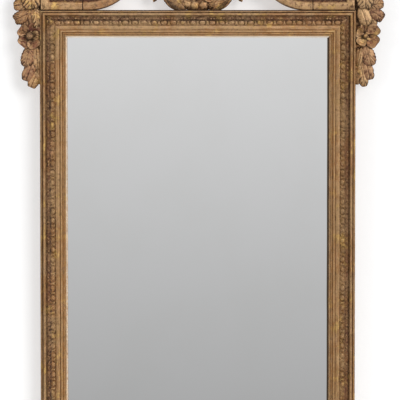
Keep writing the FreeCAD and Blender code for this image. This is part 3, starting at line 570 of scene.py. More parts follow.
def petal(carving, x, z, h, angle, length, width, cup=5.0, lift=0.1, thick=2.8, ripple=0.0, bole=0.0,
          shine=0.0):
    # a spoon: half width swells as u^a (1-u)^b, the face is low along the middle and rises as
    # v^2 to its sides and smoothly to its tip; the back follows the face at a thickness below
    front = np.linspace(-1, 1, 15)
    u, v, isFront = leafGrid(0.05, 17, front, front[-2:0:-2])
    swell = (u / 0.66) ** 0.55 * ((1 - u) / 0.34) ** 0.26
    rim = v * v * swell + 0.8 * smooth(u, 0.35, 1.0)
    wave = ripple * (np.sin(4.2 * v + 9.0 * u + angle) + 0.4 * np.cos(9.0 * v + 0.1 * angle)) * u
    up = cup * rim + wave - (1 - isFront) * thick * (0.4 + 0.6 * swell) + lift * u * length
    # cavity paints shade at the root, down the middle and round the edges; crown paints a highlight on the
    # raised rim and tip, raised further by shine
    cavity = 0.95 * (1 - smooth(u, 0.05, 0.55)) + 0.3 * bell(v, 0.14) + 0.75 * smooth(np.abs(v), 0.84, 1.0)
    crown = np.clip(smooth(rim, 0.6, 1.3) + shine, 0, 1) * (1 - smooth(np.abs(v), 0.9, 1.0))
    lay(carving, x, z, h, angle, u * length, width / 2 * swell * v, up, bole=bole, bare=1 - isFront,
        cavity=isFront * np.clip(cavity - 0.12 * wave, 0, 1), crown=isFront * crown)


def ball(carving, x, z, h, radius, deep=None, knobs=0, knobDepth=0.1, bole=0.0, ballShade=0.0, rings=11,
         around=18):
    # a sphere, squashed along h, whose radius swells and dips round it for knobs
    deep = radius if deep is None else deep
    polar = np.linspace(0.08, math.pi - 0.08, rings)[:, None]
    turn = circle(around)
    wavy = np.cos(knobs * turn) * np.sin(knobs * polar)
    size = 1 + knobDepth * wavy
    # a painted highlight on the front half and painted shade on the back half; the painted shade argument
    # darkens it all and takes the highlight away
    carving.shell(x + radius * size * np.sin(polar) * np.cos(turn), h + deep * size * np.cos(polar),
                  z + radius * size * np.sin(polar) * np.sin(turn),
                  cavity=np.clip(0.75 + ballShade - 0.8 * np.cos(polar) - 0.5 * wavy, 0, 1),
                  crown=np.clip(np.cos(polar) * (0.8 + 0.5 * wavy) * (1 - 1.5 * ballShade), 0, 1), bole=bole)


def flower(carving, x, z, h, radius, petals=5, turn=0.0, heart=0.33, bole=0.0, rise=10.0):
    # two rings of broad cupped petals, the second smaller and higher, round a knobbed heart
    away = radius * 0.1
    for layer in range(2):
        size = radius * (1 - 0.3 * layer)
        for step in range(petals):
            angle = turn + 360.0 / petals * (step + 0.5 * layer) + dice.uniform(-7, 7)
            c, s = compass(angle)
            spread = 2 * math.pi * size / petals
            petal(carving, x + away * c, z + away * s, h + layer * rise * 0.35, angle,
                  size * dice.uniform(0.84, 0.95), spread * dice.uniform(0.92, 1.1),
                  cup=0.14 * radius, lift=0.04 + 0.1 * layer, ripple=0.5,
                  bole=bole * dice.uniform(0.4, 1.4))
    ball(carving, x, z, h + rise * 0.52, radius * heart, radius * heart * 0.9, knobs=6, knobDepth=0.05)


# channelled blocks and scrolls; rings cross the border and the channel, each with its inset
# from the outline, height, cavity as painted shade and dirt, and crown as painted highlight
band = {
    "outerX": 357.0, "jointX": 262.0, "runX": 250.0, "bend": 92.0, "headX": 190.0, "head": 48.0,
    "neck": 22.0, "width": 70.0, "joint": 0.06, "step": 3.0, "fineHalf": 4.0, "fineStep": 0.5,
    "seamHalf": 1.3, "seamDeep": 1.6, "seamLow": 25.0, "backHigh": 11.0, "channel": (17.8, 20.0),
    "bole": {-1: 0.02, 1: 0.22}, "scrollBole": {-1: 0.3, 1: 0.1}, "channelBole": 0.6,
    "paterX": 183.5, "paterRise": 78.0, "paterUp": 30.0, "paterRadius": 28.0,
    "rings": (
        (0.0, 10.2, 0.6, 0.0), (0.0, 22.0, 0.45, 0.0), (0.0, 31.8, 0.3, 0.2), (0.7, 33.4, 0.0, 0.7),
        (2.0, 34.0, 0.0, 0.6), (9.0, 34.3, 0.0, 0.3), (14.6, 34.1, 0.0, 0.5), (16.2, 33.3, 0.05, 0.5),
        (17.6, 31.4, 0.2, 0.1), (19.2, 28.6, 0.4, 0.0), (20.8, 26.7, 0.8, 0.0), (23.5, 26.0, 0.4, 0.0)),
}


def bandOutline():
    # straight runs and arcs in turn: along the rail, up the bend, over the head, down the neck
    b = band

    def arc(x, z, radius, first, last, wide=None):
        count = max(int(abs(math.radians(last - first)) * radius / b["step"]), 6)
        turn = np.radians(np.linspace(first, last, count))
        return np.stack([x + (wide or radius) * np.cos(turn), z + radius * np.sin(turn)], axis=-1)[:-1]

    def straight(x0, z0, x1, z1, step=b["step"]):
        count = max(int(math.hypot(x1 - x0, z1 - z0) / step), 3)
        share = np.linspace(0, 1, count)[:-1, None]
        return np.array([x0, z0]) + share * np.array([x1 - x0, z1 - z0])

    neckX = b["headX"] + b["head"] + b["neck"]
    before, after = b["jointX"] + b["fineHalf"], b["jointX"] - b["fineHalf"]
    bendWide = b["runX"] - b["headX"] + b["head"]
    return np.concatenate([
        straight(b["outerX"], 0, before, 0), straight(before, 0, after, 0, b["fineStep"]),
        straight(after, 0, b["runX"], 0),
        arc(b["runX"], b["bend"], b["bend"], 270, 180, bendWide),
        arc(b["headX"], b["bend"], b["head"], 180, 0),
        arc(neckX, b["bend"], b["neck"], 180, 270),
        straight(neckX, b["width"], b["outerX"], b["width"]),
        straight(b["outerX"], b["width"], b["outerX"], 0)])


def bandMesh(sign):
    # every ring is the outline moved in along its mitred normals, at its own height
    b = band
    line = bandOutline()
    ahead = np.roll(line, -1, axis=0) - line
    ahead /= np.linalg.norm(ahead, axis=1)[:, None]
    normal = np.stack([ahead[:, 1], -ahead[:, 0]], axis=-1)
    before = np.roll(normal, 1, axis=0)
    mitre = (normal + before) / (1 + (normal * before).sum(axis=1))[:, None]
    inset, height, cavity, crown = np.array(b["rings"]).T[:, :, None]
    x = line[None, :, 0] + inset * mitre[None, :, 0]
    z = line[None, :, 1] + inset * mitre[None, :, 1]
    seam = bell(x - b["jointX"], b["seamHalf"]) * (height > b["seamLow"])
    bole = np.where(x > b["jointX"], b["bole"][sign], b["scrollBole"][sign])
    carving = Carving()
    carving.shell(sign * x, height - b["seamDeep"] * seam, railTop + z, ends="faces",
                  cavity=np.clip(cavity + seam, 0, 1), crown=crown * (1 - seam),
                  bole=bole + b["channelBole"] * smooth(inset, *b["channel"]), bare=height < b["backHigh"])
    return carving.mesh()


def fromWork(work):
    # a mesh of its own from the points and faces at work
    made = bpy.data.meshes.new("band")
    work.to_mesh(made)
    work.free()
    return made


def cutBand(mesh, sign, outer):
    # keeps the part on one side of the straight joint and shuts the cut
    work = bmesh.new()
    work.from_mesh(mesh)
    bmesh.ops.triangulate(work, faces=[face for face in work.faces if len(face.verts) > 4],
                          ngon_method="EAR_CLIP")
    away = sign if outer else -sign
    place = sign * band["jointX"] + away * band["joint"]
    cut = bmesh.ops.bisect_plane(work, geom=work.verts[:] + work.edges[:] + work.faces[:],
                                 plane_co=(place * mm, 0, 0), plane_no=(away, 0, 0),
                                 clear_inner=True)
    edges = [item for item in cut["geom_cut"] if isinstance(item, bmesh.types.BMEdge)]
    bmesh.ops.edgenet_fill(work, edges=edges)
    bmesh.ops.recalc_face_normals(work, faces=work.faces[:])
    return fromWork(work)


def joined(first, second):
    # one mesh from two, marks and all
    work = bmesh.new()
    work.from_mesh(first)
    work.from_mesh(second)
    return fromWork(work)


for sideName, sign in sides:
    whole = bandMesh(sign)
    stand(f"carved_{sideName}_crest_block", cutBand(whole, sign, True), giltCarved,
          f"{sideName}_crest_block")
    patera = Carving()
    flower(patera, sign * band["paterX"], railTop + band["paterRise"], band["paterUp"], band["paterRadius"],
           petals=8, turn=11.0, rise=14.0, heart=0.3, bole=0.3)
    stand(f"carved_{sideName}_crest_scroll", joined(cutBand(whole, sign, False), patera.mesh()), giltCarved,
          f"{sideName}_crest_scroll")
print("blocks and scrolls carved")

wreath = {
    "halfWidth": 88.0, "halfHeight": 96.0, "centre": 85.0, "gap": (-266, 86), "core": 7.0, "base": 12.0,
    "coreUp": 6.5, "clear": 0.3, "stations": 10, "first": -44.0, "last": 80.0, "leafLong": 50.0,
    "leafWide": 23.0, "leafUp": 5.0, "centreUp": 7.0, "splay": 27.0, "berry": 4.6, "berryIn": 15.0,
    "berryUp": 12.0, "tipLow": 6.0, "tipTop": 184.0, "rootLow": 4.0, "tailX": 72.0, "tailZ": 34.0,
    "longOf": (0.84, 0.92), "rootOf": (10.0, -6.0),  # of a leaf between and of a splayed one
}


def wreathPiece():
    # a round core on an ellipse, broken at the top for the bow; leaves in threes follow its tangent
    w = wreath
    carving = Carving()
    turn = np.radians(np.linspace(*w["gap"], 90))[:, None]
    ring = circle(14)
    flat = w["core"] * np.cos(ring)
    # the core is painted dark all over, as shade under its leaves
    carving.shell((w["halfWidth"] + flat) * np.cos(turn), w["base"] + w["coreUp"] + w["core"] * np.sin(ring),
                  railTop + np.maximum(w["centre"] + (w["halfHeight"] + flat) * np.sin(turn), w["clear"]),
                  cavity=0.7)
    for sign in (-1, 1):
        for station in range(w["stations"]):
            share = station / (w["stations"] - 1)
            c, s = compass(w["first"] + (w["last"] - w["first"]) * share)
            x, z = w["halfWidth"] * c, w["centre"] + w["halfHeight"] * s
            heading = math.degrees(math.atan2(w["halfHeight"] * c, -w["halfWidth"] * s))
            goX, goZ = compass(heading)
            size = 1 - 0.12 * share
            for tilt, high, splayed in leavesInThree(heading, w["splay"], w["centreUp"]):
                long = w["leafLong"] * size * w["longOf"][splayed]
                back = w["rootOf"][splayed]
                rootX, rootZ = x + back * goX, z + back * goZ
                tiltX, tiltZ = compass(tilt)
                tipX, tipZ = rootX + long * tiltX, rootZ + long * tiltZ
                past = tipZ < w["tipLow"] or tipZ > w["tipTop"] or rootZ < w["rootLow"]
                inTail = max(rootX, tipX) > w["tailX"] and min(rootZ, tipZ) < w["tailZ"]
                if past or inTail:
                    continue
                leaf(carving, sign * rootX, railTop + rootZ, w["base"] + w["leafUp"] + high,
                     mirrored(tilt, sign), long, w["leafWide"] * size, belly=0.46, point=1.3, lift=0.05,
                     bow=2.0, bole=dice.uniform(0, 0.5))
            if station % 2:
                ball(carving, sign * (x - w["berryIn"] * c), railTop + z - w["berryIn"] * s,
                     w["base"] + w["berryUp"], w["berry"], bole=0.4, rings=8, around=12)
    bouquet(carving)
    stand("carved_wreath", carving.mesh(), giltCarved, "crest_wreath")


# each flower: x, rise, radius, turn; each bud: x, rise, radius, bole, painted shade
# each leaf of the right half: x, rise, angle, length, width, height, bole on the left and right
posy = {
    "back": 10.2, "clear": 0.4, "halfWidth": 46.0, "halfHeight": 36.0, "centre": 32.0,
    "moundUp": (0.0, 8.0, 12.0, 14.0), "moundSize": (1.0, 1.0, 0.94, 0.8), "flowerUp": 22.0, "budUp": 23.0,
    "flowers": ((-27, 33, 21, 12), (28, 33, 21, 40), (0, 47, 23, 0)),
    "leaves": ((47, 3, 62, 70, 37, 18, 0.35, 0.1), (26, 3, 48, 62, 32, 21, 0.3, 0.25),
               (60, 24, 76, 50, 26, 14, 0.6, 0.5)),
    "buds": ((-23, 14, 9, -0.6, -0.05), (-7, 11, 10.5, -0.6, -0.05), (13, 11, 10.5, 0.3, 0.0),
             (31, 12, 9.5, 0.1, 0.45), (-36, 26, 8, 0.2, 0.0), (34, 27, 8, 0.2, 0.0)),
}


def bouquet(carving):
    # a low mound behind, side leaves that rise from the foot, three flowers and a row of buds
    p = posy
    turn = circle(40)
    high, size = np.array(p["moundUp"])[:, None], np.array(p["moundSize"])[:, None]
    # the mound behind is painted dark, as shade under the flowers and leaves
    carving.shell(p["halfWidth"] * size * np.cos(turn), p["back"] + high,
                  railTop + np.maximum(p["centre"] + p["halfHeight"] * size * np.sin(turn), p["clear"]),
                  ends="faces", cavity=0.5, bole=0.4)
    for sign in (-1, 1):
        for x, z, angle, long, wide, h, *boles in p["leaves"]:
            bole = boles[sign > 0]
            leaf(carving, sign * x, railTop + z, h, mirrored(angle, sign), long, wide, belly=0.52, point=0.95,
                 rise=5.0, veins=8.0, deep=0.7, lift=0.06, bole=bole, shine=1.1 - bole, fine=2)
    for x, z, radius, turnBy in p["flowers"]:
        flower(carving, x, railTop + z, p["flowerUp"], radius, petals=6, turn=turnBy, rise=9.0, bole=0.3)
    for x, z, radius, bole, ballShade in p["buds"]:
        ball(carving, x, railTop + z, p["budUp"], radius, radius * 0.9, knobs=5, knobDepth=0.09, bole=bole,
             ballShade=ballShade)


wreathPiece()
print("wreath carved")

ribbon = {
    "knotRise": 200.0, "knot": 19.0, "knotUp": 26.0, "knotDeep": 15.0, "seatUp": (10.2, 16.0, 19.0),
    "seatWide": 16.0, "seatHigh": 15.5, "loopRoot": 9.0, "loopLong": 84.0, "loopWide": 25.0,
    "loopTurn": 30.0, "loopUp": 23.5, "loopWave": 2.5, "bandHalf": 9.5, "thick": 2.6, "tailHalf": 8.8,
    "notch": 8.0, "tailX": (18, 70, 107, 118, 97), "tailZ": (198, 187, 150, 96, 20), "tailUp": 13.2,
    "tailWave": 1.3, "tailTwist": 0.16, "tailRipples": 3.1,
}


def ribbonRing(thick):
    # a flat ring across a ribbon of half width 1: rounded at both edges, a little hollow on its face
    turn = circle(18)
    side = np.sign(np.cos(turn)) * np.abs(np.cos(turn)) ** 0.55
    face = np.sign(np.sin(turn)) * np.abs(np.sin(turn)) ** 0.5
    return side, thick * face * (0.72 + 0.28 * side ** 2)


def sweepRibbon(carving, x, z, h, tilt, half, thick, ends, notch=0.0, **marks):
    # the ring carried along a line in the wall's plane, tilted about it as the ribbon twists
    closed = ends == "loop"
    dx = np.roll(x, -1) - np.roll(x, 1) if closed else np.gradient(x)
    dz = np.roll(z, -1) - np.roll(z, 1) if closed else np.gradient(z)
    size = np.hypot(dx, dz)
    dx, dz = (dx / size)[:, None], (dz / size)[:, None]
    side, face = ribbonRing(thick)
    wide = side * np.broadcast_to(half, len(x))[:, None]
    lean = tilt[:, None]
    across = wide * np.cos(lean) - face * np.sin(lean)
    up = wide * np.sin(lean) + face * np.cos(lean)
    cut = smooth(np.linspace(0, 1, len(x)), 0.86, 1.0)[:, None] * notch * (np.abs(side) - 1)
    # painted highlights along both edges of the front, painted shade on the back and down the middle
    carving.shell(x[:, None] - dz * across + dx * cut, h[:, None] + up,
                  z[:, None] + dx * across + dz * cut, ends=ends,
                  crown=np.clip(np.abs(side) ** 4, 0, 1) * (face > 0),
                  cavity=np.clip(0.55 * (face < 0) + 0.35 * bell(side, 0.35), 0, 1), **marks)


def bowPiece():
    # each loop is a closed drop: out as 1 - cos, aside as sin; the knot is a pinched ball
    r = ribbon
    carving = Carving()
    knotZ = railTop + r["knotRise"]
    s = circle(72)[0]
    reach = 0.5 - 0.5 * np.cos(s)
    out = r["loopRoot"] + r["loopLong"] * reach
    aside = r["loopWide"] * np.sin(s) * np.sqrt(reach) * 1.2
    goX, goZ = compass(r["loopTurn"])
    for sign in (-1, 1):
        sweepRibbon(carving, sign * (out * goX - aside * goZ), knotZ + out * goZ + aside * goX,
                    r["loopUp"] + r["loopWave"] * np.sin(s), sign * (0.4 * np.sin(s) + 0.1),
                    r["bandHalf"], r["thick"], "loop", bole=0.25)
    polar = np.linspace(0.06, math.pi - 0.06, 17)[:, None]
    around = circle(40)
    fold = 1 + 0.07 * np.cos(7 * around) * np.sin(polar)
    pinch = 1 - 0.24 * np.abs(np.cos(around)) * np.sin(polar)
    # painted highlights on the ridges of its folds and painted shade in their hollows
    carving.shell(r["knot"] * fold * pinch * np.sin(polar) * np.cos(around),
                  r["knotUp"] + r["knotDeep"] * np.cos(polar),
                  knotZ + r["knot"] * fold * np.sin(polar) * np.sin(around),
                  crown=np.clip(fold - 0.98, 0, 1) * 8, cavity=np.clip(1 - fold, 0, 1) * 9, bole=0.15)
    around = circle(24)
    # the seat under the knot is painted dark, as shade
    carving.shell(r["seatWide"] * np.cos(around), np.array(r["seatUp"])[:, None],
                  knotZ + r["seatHigh"] * np.sin(around), ends="faces", cavity=0.8)
    stand("carved_bow", carving.mesh(), giltCarved, "ribbon_bow")


def tailPiece(sideName, sign):
    # the line is the quartic through five points; the ribbon ripples forward and twists as it falls
    r = ribbon
    t = np.linspace(0, 4, 90)
    x, z = (np.polyval(np.polyfit(np.arange(5.0), r[key], 4), t) for key in ("tailX", "tailZ"))
    ripple = t * r["tailRipples"]
    carving = Carving()
    sweepRibbon(carving, sign * x, railTop + z, r["tailUp"] + r["tailWave"] * np.sin(ripple),
                sign * r["tailTwist"] * np.sin(ripple + 1), r["tailHalf"] * (1 - 0.5 * smooth(t, 2.9, 4.0)),
                r["thick"], "faces", notch=r["notch"], bole=0.2)
    stand(f"carved_{sideName}_tail", carving.mesh(), giltCarved, f"{sideName}_ribbon_tail")


bowPiece()
for sideName, sign in sides:
    tailPiece(sideName, sign)
print("ribbon carved")

garland = {
    "from": (22.0, 202.0), "to": (368.0, 78.0), "sag": 5.0, "base": 34.2, "stem": 4.5, "stemEnd": 0.9,
    "stations": 9, "firstLeaf": 0.02, "leafSpan": 0.87, "leafUp": 1.2, "centreUp": 4.2, "leafLong": 54.0,
    "leafWide": 24.0, "thick": 2.4, "splay": 28.0, "lastLeaf": 0.865, "lastLong": 38.0, "lastWide": 17.0,
    "berry": 4.2, "berryDeep": 4.4, "berryUp": 5.0, "berryAside": 13, "berryAhead": 7, "longOf": (0.8, 0.94),
}


def garlandPiece(sideName, sign):
    # stem and leaves follow a line that sags as 4 t (1 - t); the leaves lie in threes along it
    g = garland
    (x0, z0), (x1, z1) = g["from"], g["to"]
    carving = Carving()

    def onLine(t):
        return x0 + (x1 - x0) * t, z0 + (z1 - z0) * t - g["sag"] * 4 * t * (1 - t)

    x, z = onLine(np.linspace(0, g["stemEnd"], 60)[:, None])
    ring = circle(12)
    # the stem is painted dark, as shade under its leaves
    carving.shell(sign * x, g["base"] + g["stem"] * (1 + np.sin(ring)) * 0.8,
                  railTop + z + g["stem"] * np.cos(ring), cavity=0.7)
    for station in range(g["stations"]):
        share = g["firstLeaf"] + g["leafSpan"] * station / g["stations"]
        x, z = onLine(share)
        nextX, nextZ = onLine(share + 0.02)
        heading = math.degrees(math.atan2(nextZ - z, nextX - x))
        size = 0.86 + 0.22 * math.sin(math.pi * (station + 1) / (g["stations"] + 1))
        for tilt, high, splayed in leavesInThree(heading, g["splay"], g["centreUp"]):
            leaf(carving, sign * x, railTop + z, g["base"] + g["leafUp"] + high, mirrored(tilt, sign),
                 g["leafLong"] * size * g["longOf"][splayed], g["leafWide"] * size,
                 point=1.15, rise=3.6, bow=1.2, bole=dice.uniform(0, 0.5), thick=g["thick"])
        goX, goZ = compass(heading)
        for away in (-g["berryAside"], g["berryAside"]):
            ball(carving, sign * (x + g["berryAhead"] - away * goZ), railTop + z + away * goX,
                 g["base"] + g["berryUp"], g["berry"], g["berryDeep"], bole=0.5, rings=8, around=12)
    x, z = onLine(g["lastLeaf"])
    heading = math.degrees(math.atan2(z1 - z, x1 - x))
    leaf(carving, sign * x, railTop + z, g["base"] + g["leafUp"], mirrored(heading, sign),
         g["lastLong"], g["lastWide"], belly=0.45, point=1.0, rise=3.4, bow=1.0, bole=0.2, thick=g["thick"])
    stand(f"carved_{sideName}_garland", carving.mesh(), giltCarved, f"{sideName}_garland")


for sideName, sign in sides:
    garlandPiece(sideName, sign)
print("garlands carved")

# each leaf: root out from the stile, root above the rail's top, tip out, tip above, width,
# height, bole, tip (0 round, 1 square, 2 forked), vein count, vein depth
# each petal: angle, length, width, height, bole; bole below zero paints a stronger highlight instead
# a rosette: out, above the rail's top, radius, painted shade
drop = {
    "back": 14.0, "bedWide": 32.0, "bedHigh": 4.0, "bedTop": 66.0, "bedLow": -158.0, "bedTaper": -60.0,
    "pins": (-31.0, -80.0, -128.0), "pinCover": 4.6, "pinHalf": 5.0, "ballUp": 28.0,
    "pointOf": (0.85, 0.5, 0.5), "forkOf": (0.0, 0.0, 4.0), "spread": {"left": 0.95, "right": 0.92},
    "hang": 0.98,
    "leftLeaves": (
        (26, 66, 44, 24, 28, 20, 0.2, 0, 6, 0.8), (6, 68, 3, 22, 24, 18, 0.0, 0, 6, 0.8),
        (26, 42, 60, 24, 26, 21, 0.3, 0, 6, 0.8), (30, 30, 34, -40, 34, 15.5, 0.3, 0, 5, 0.6),
        (16, -20, 20, -100, 40, 15.5, 0.3, 0, 6, 0.8), (14, -90, 18, -160, 30, 15, 0.2, 0, 6, 0.8),
        (24, 60, 18, 3, 46, 26, -0.4, 1, 5, 1.2), (22, 14, 63, 10, 26, 21, 0.25, 1, 6, 1.1),
        (20, -4, 62, -24, 31, 19, 0.4, 2, 7, 1.4), (22, 8, 20, -32, 17, 20, 0.4, 0, 5, 0.5),
        (9, 9, 4, -44, 24, 23, -0.35, 0, 5, 1.4), (22, -80, 35, -132, 31, 23, 0.55, 0, 7, 1.2),
        (10, -80, 4, -138, 23, 22, -0.1, 0, 4, 0.5), (16, -116, 34, -165, 30, 20, 0.6, 1, 3, 0.7),
        (8, -130, 2, -172, 18, 17, -0.1, 1, 4, 0.5), (4, -138, 22, -180, 26, 18.5, -0.2, 1, 3, 0.5)),
    "leftRosette": (24.0, -60.0, 10.0, 0.44),
    "leftPetals": (
        (180, 27, 24, 20, 0.5), (143, 31, 29, 22, 0.5), (100, 28, 24, 19, 0.8), (59, 31, 29, 21, 1.0),
        (5, 22, 22, 23, -0.2), (-62, 32, 32, 23, 0.5), (-130, 31, 32, 22, 0.65)),
    "rightLeaves": (
        (26, 66, 44, 24, 28, 20, 0.2, 0, 6, 0.8), (6, 68, 4, 22, 24, 18, 0.0, 0, 6, 0.8),
        (26, 42, 60, 26, 26, 21, 0.3, 0, 6, 0.8), (34, 30, 40, -40, 36, 15.5, 0.3, 0, 5, 0.6),
        (20, -20, 26, -100, 42, 15.5, 0.3, 0, 6, 0.8), (16, -90, 22, -160, 30, 15, 0.2, 0, 6, 0.8),
        (18, 60, 25, 3, 40, 26, -0.1, 1, 5, 1.0), (26, 12, 70, 15, 27, 21, 0.5, 0, 5, 1.0),
        (30, 4, 69, -20, 29, 19, 0.65, 1, 7, 1.2), (12, 10, 29, -36, 32, 22, -0.35, 0, 3, 0.3),
        (24, -80, 39, -130, 33, 23, 0.6, 0, 7, 1.0), (17, -84, 7, -129, 16, 21, -0.2, 0, 4, 0.5),
        (6, -84, 5, -132, 11, 19, 0.1, 0, 4, 0.6), (24, -112, 36, -162, 27, 20, 0.5, 1, 4, 0.6),
        (10, -112, 23, -178, 25, 18, -0.3, 0, 5, 1.0), (5, -130, 5, -173, 11, 16, 0.0, 1, 4, 0.5)),
    "rightRosette": (24.5, -60.0, 6.0, 0.3),
    "rightPetals": (
        (100, 33, 16, 19, 0.2), (157, 25, 24, 21, 0.1), (36, 39, 30, 21, 0.4),
        (-37, 36, 32, 22, 0.5), (-128, 27, 26, 23, -0.4)),
}


def dropPiece(sideName, sign):
    # a bed of rounded bars, flat against the stile and narrowing downwards, under overlapping
    # leaves; the petals of the rosette spread from its ball
    d = drop
    spread = d["spread"][sideName]
    carving = Carving()
    edgeX = moulding["width"] / 2
    z = np.concatenate([np.linspace(d["bedLow"], -0.2, 80), np.linspace(0.3, d["bedTop"], 24)])[:, None]
    wide = d["bedWide"] * (0.4 + 0.6 * smooth(z, d["bedLow"], d["bedTaper"]))
    inner = np.where(z > 0, -2.8, -0.1)  # above the rail it closes on the block
    tall = d["bedHigh"] + d["pinCover"] * bell(z - np.array(d["pins"]), d["pinHalf"]).sum(axis=1)[:, None]
    turn = np.linspace(-math.pi / 2, math.pi / 2, 9)
    outward = np.concatenate([[0.0], 0.7 + 0.3 * np.cos(turn), [0.0]])[None, :]
    forward = np.concatenate([[0.0], 0.5 + 0.5 * np.sin(turn), [1.0]])[None, :]
    # painted shade under the leaves, stronger on the upper part of the bed
    carving.shell(sign * (edgeX + inner + (wide - inner) * outward), d["back"] + 0.2 + tall * forward,
                  railTop + z, ends="faces", ochre=0.3, bare=forward < 0.05,
                  cavity=0.25 + 0.4 * smooth(z, -80, -50))
    for rootOut, rootUp, tipOut, tipUp, width, h, bole, tip, veins, deep in d[sideName + "Leaves"]:
        goX, goZ = spread * (tipOut - rootOut), d["hang"] * (tipUp - rootUp)
        leaf(carving, sign * (edgeX + spread * rootOut), railTop + d["hang"] * rootUp, h,
             math.degrees(math.atan2(goZ, sign * goX)), math.hypot(goX, goZ), width,
             belly=0.6, point=d["pointOf"][tip], fork=d["forkOf"][tip], rise=4.0, veins=veins,
             deep=deep * 1.15, scallop=0.08, lift=0.02, bow=1.5, bole=bole,
             shine=0.8 + 1.6 * max(-bole, 0), fine=2)
    out, up, radius, ballShade = d[sideName + "Rosette"]
    x, z = sign * (edgeX + spread * out), railTop + d["hang"] * up
    for angle, length, width, h, bole in d[sideName + "Petals"]:
        petal(carving, x, z, h, angle, spread * length, width, cup=5.5, lift=0.05, ripple=1.5, bole=bole,
              shine=2.0 * max(-bole, 0))
    ball(carving, x, z, d["ballUp"], radius, radius * 0.8, bole=0.1, ballShade=ballShade)
    stand(f"carved_{sideName}_drop", carving.mesh(), giltCarved, f"{sideName}_drop")


for sideName, sign in sides:
    dropPiece(sideName, sign)
print("drops carved")


# finishes of the solids that stay
# the plate's bare colour is a painted shadow along the right edge of the glass
plate = {"clear": (0.9, 0.905, 0.91, 1), "hazy": (0.885, 0.89, 0.89, 1), "bare": (0.15, 0.115, 0.075, 1),
         "shadeFrom": 0.2955, "shadeTo": 0.2964}


def mirrorPlate():
    # a mirror with a faint haze; along the right edge, where x is over its set line, a painted shadow darkens
    # it
    paint = newFinish("mirror_plate")
    place = paint.stretched()
    haze = paint.noise(place, 5.0, 3.0)
    tint = paint.mix(paint.step(haze, 0.4, 0.7), plate["clear"], plate["hazy"])
    across = paint.node("ShaderNodeSeparateXYZ", {}, {0: place}) + 0.002 * (haze - 0.5)
    tint = paint.mix(paint.step(across, plate["shadeFrom"], plate["shadeTo"]), tint, plate["bare"])
    return paint.surface(Base_Color=tint, Metallic=1.0, Roughness=0.015 + 0.02 * paint.step(haze, 0.45, 0.75))


woodColours = {"pale": toLinear(176, 138, 96), "mid": toLinear(148, 110, 72), "dark": toLinear(96, 68, 44)}


def wood(name, grain, seed, age=0.5, tone=1.0):
    # growth lines as a long stretched noise, fine fibre over it, darkened by stains
    paint = newFinish(name)
    along = paint.stretched(grain, move=(seed, seed, seed))
    here = paint.stretched(move=(seed, 0, 0))
    lines = paint.step(paint.noise(along, 4.0, 4.0, 0.55), 0.36, 0.64)
    fibre = paint.noise(along, 60.0, 3.0, 0.65)
    stain = paint.noise(here, 6.0, 4.0, 0.6)
    colour = paint.mix(lines, woodColours["pale"], woodColours["mid"])
    colour = paint.mix(paint.step(fibre, 0.42, 0.7) * 0.5, colour, woodColours["dark"])
    colour = paint.mix(paint.step(stain, 0.42, 0.72) * age, colour, woodColours["dark"])
    colour = paint.mix(1.0, colour, grey(tone), "MULTIPLY")
    return paint.surface(Base_Color=colour, Roughness=0.7 + 0.14 * (fibre - 0.5),
                         Normal=paint.bump(0.3, 0.0008, fibre * 0.7 + lines * 0.3))


def iron():
    # dark forged metal with rust blooms
    paint = newFinish("iron")
    place = paint.stretched()
    bloom = paint.step(paint.noise(place, 120.0, 4.0, 0.6), 0.45, 0.7)
    colour = paint.mix(bloom, toLinear(96, 90, 84), toLinear(92, 62, 44))
    return paint.surface(Base_Color=colour, Metallic=0.9 * (1.0 - 0.6 * bloom), Roughness=0.42 + 0.3 * bloom,
                         Normal=paint.bump(0.25, 0.0004, paint.noise(place, 700.0, 2.0)))


def silverCoat():
    # a dull grey coat, spotted dark where it has tarnished
    paint = newFinish("silver_coat")
    spots = paint.step(paint.noise(paint.stretched(), 40.0, 4.0, 0.6), 0.55, 0.7)
    colour = paint.mix(spots, toLinear(150, 148, 144), toLinear(92, 88, 84))
    return paint.surface(Base_Color=colour, Metallic=0.4, Roughness=0.5 + 0.2 * spots)


# each finish and the solids that have it; wood: grain, seed, age, tone
upright = (9, 9, 0.5)
finishOf = (
    (mirrorPlate(), ("mirror_glass",)),
    (silverCoat(), ("silvering",)),
    (iron(), ("backboard_nails", "batten_screws", "drop_pins", "hanger_screws", "left_hanger_strap",
              "right_hanger_strap", "left_hanger_ring", "right_hanger_ring")),
    (wood("pine_board_left", upright, 0.4, 0.45, 0.94), ("backboard_left",)),
    (wood("pine_board_centre", upright, 1.7, 0.3, 1.06), ("backboard_centre",)),
    (wood("pine_board_right", upright, 3.3, 0.55, 0.86), ("backboard_right",)),
    (wood("pine_battens", (12, 12, 1.0), 2.2, 0.6),
     ("left_crest_batten", "centre_crest_batten", "right_crest_batten")),
    (wood("pine_blocks", (14, 14, 3), 4.2), ("glazing_blocks",)),
    (wood("oak_keys", (20, 20, 6), 6.1, 0.8), ("mitre_keys", "crest_dowels")),
)
for finish, nodeNames in finishOf:
    for nodeName in nodeNames:
        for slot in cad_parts[nodeName].material_slots:
            slot.material = finish
print("solids finished")


# greys: how high a reflection looks, 0 down to 1 up, and how light it is there
# lamps: name, place, aim, size, power
room = {
    "wallY": 0.0125, "half": 2.6, "wallHigh": 3.4, "floorFront": 1.2, "floorZ": -0.0005,
    "wallTone": 0.62, "wallGlow": 0.41, "floorTones": (0.84, 0.88), "ambient": 0.5,
    "sun": 1.95, "sunAngle": 34.0, "sunFrom": (0.62, -0.70, 0.36),
    "lamps": (("fill", (-5.2, -4.4, 1.8), (0, 0, 0.75), 3.0, 90.0),
              ("behind", (-1.4, 3.0, 2.0), (0, 0, 0.8), 2.0, 60.0)),
    "greys": ((0.0, 0.86), (0.36, 0.62), (0.417, 0.42), (0.4545, 0.515), (0.5297, 0.735), (0.62, 0.86),
              (1.0, 0.95)),
}


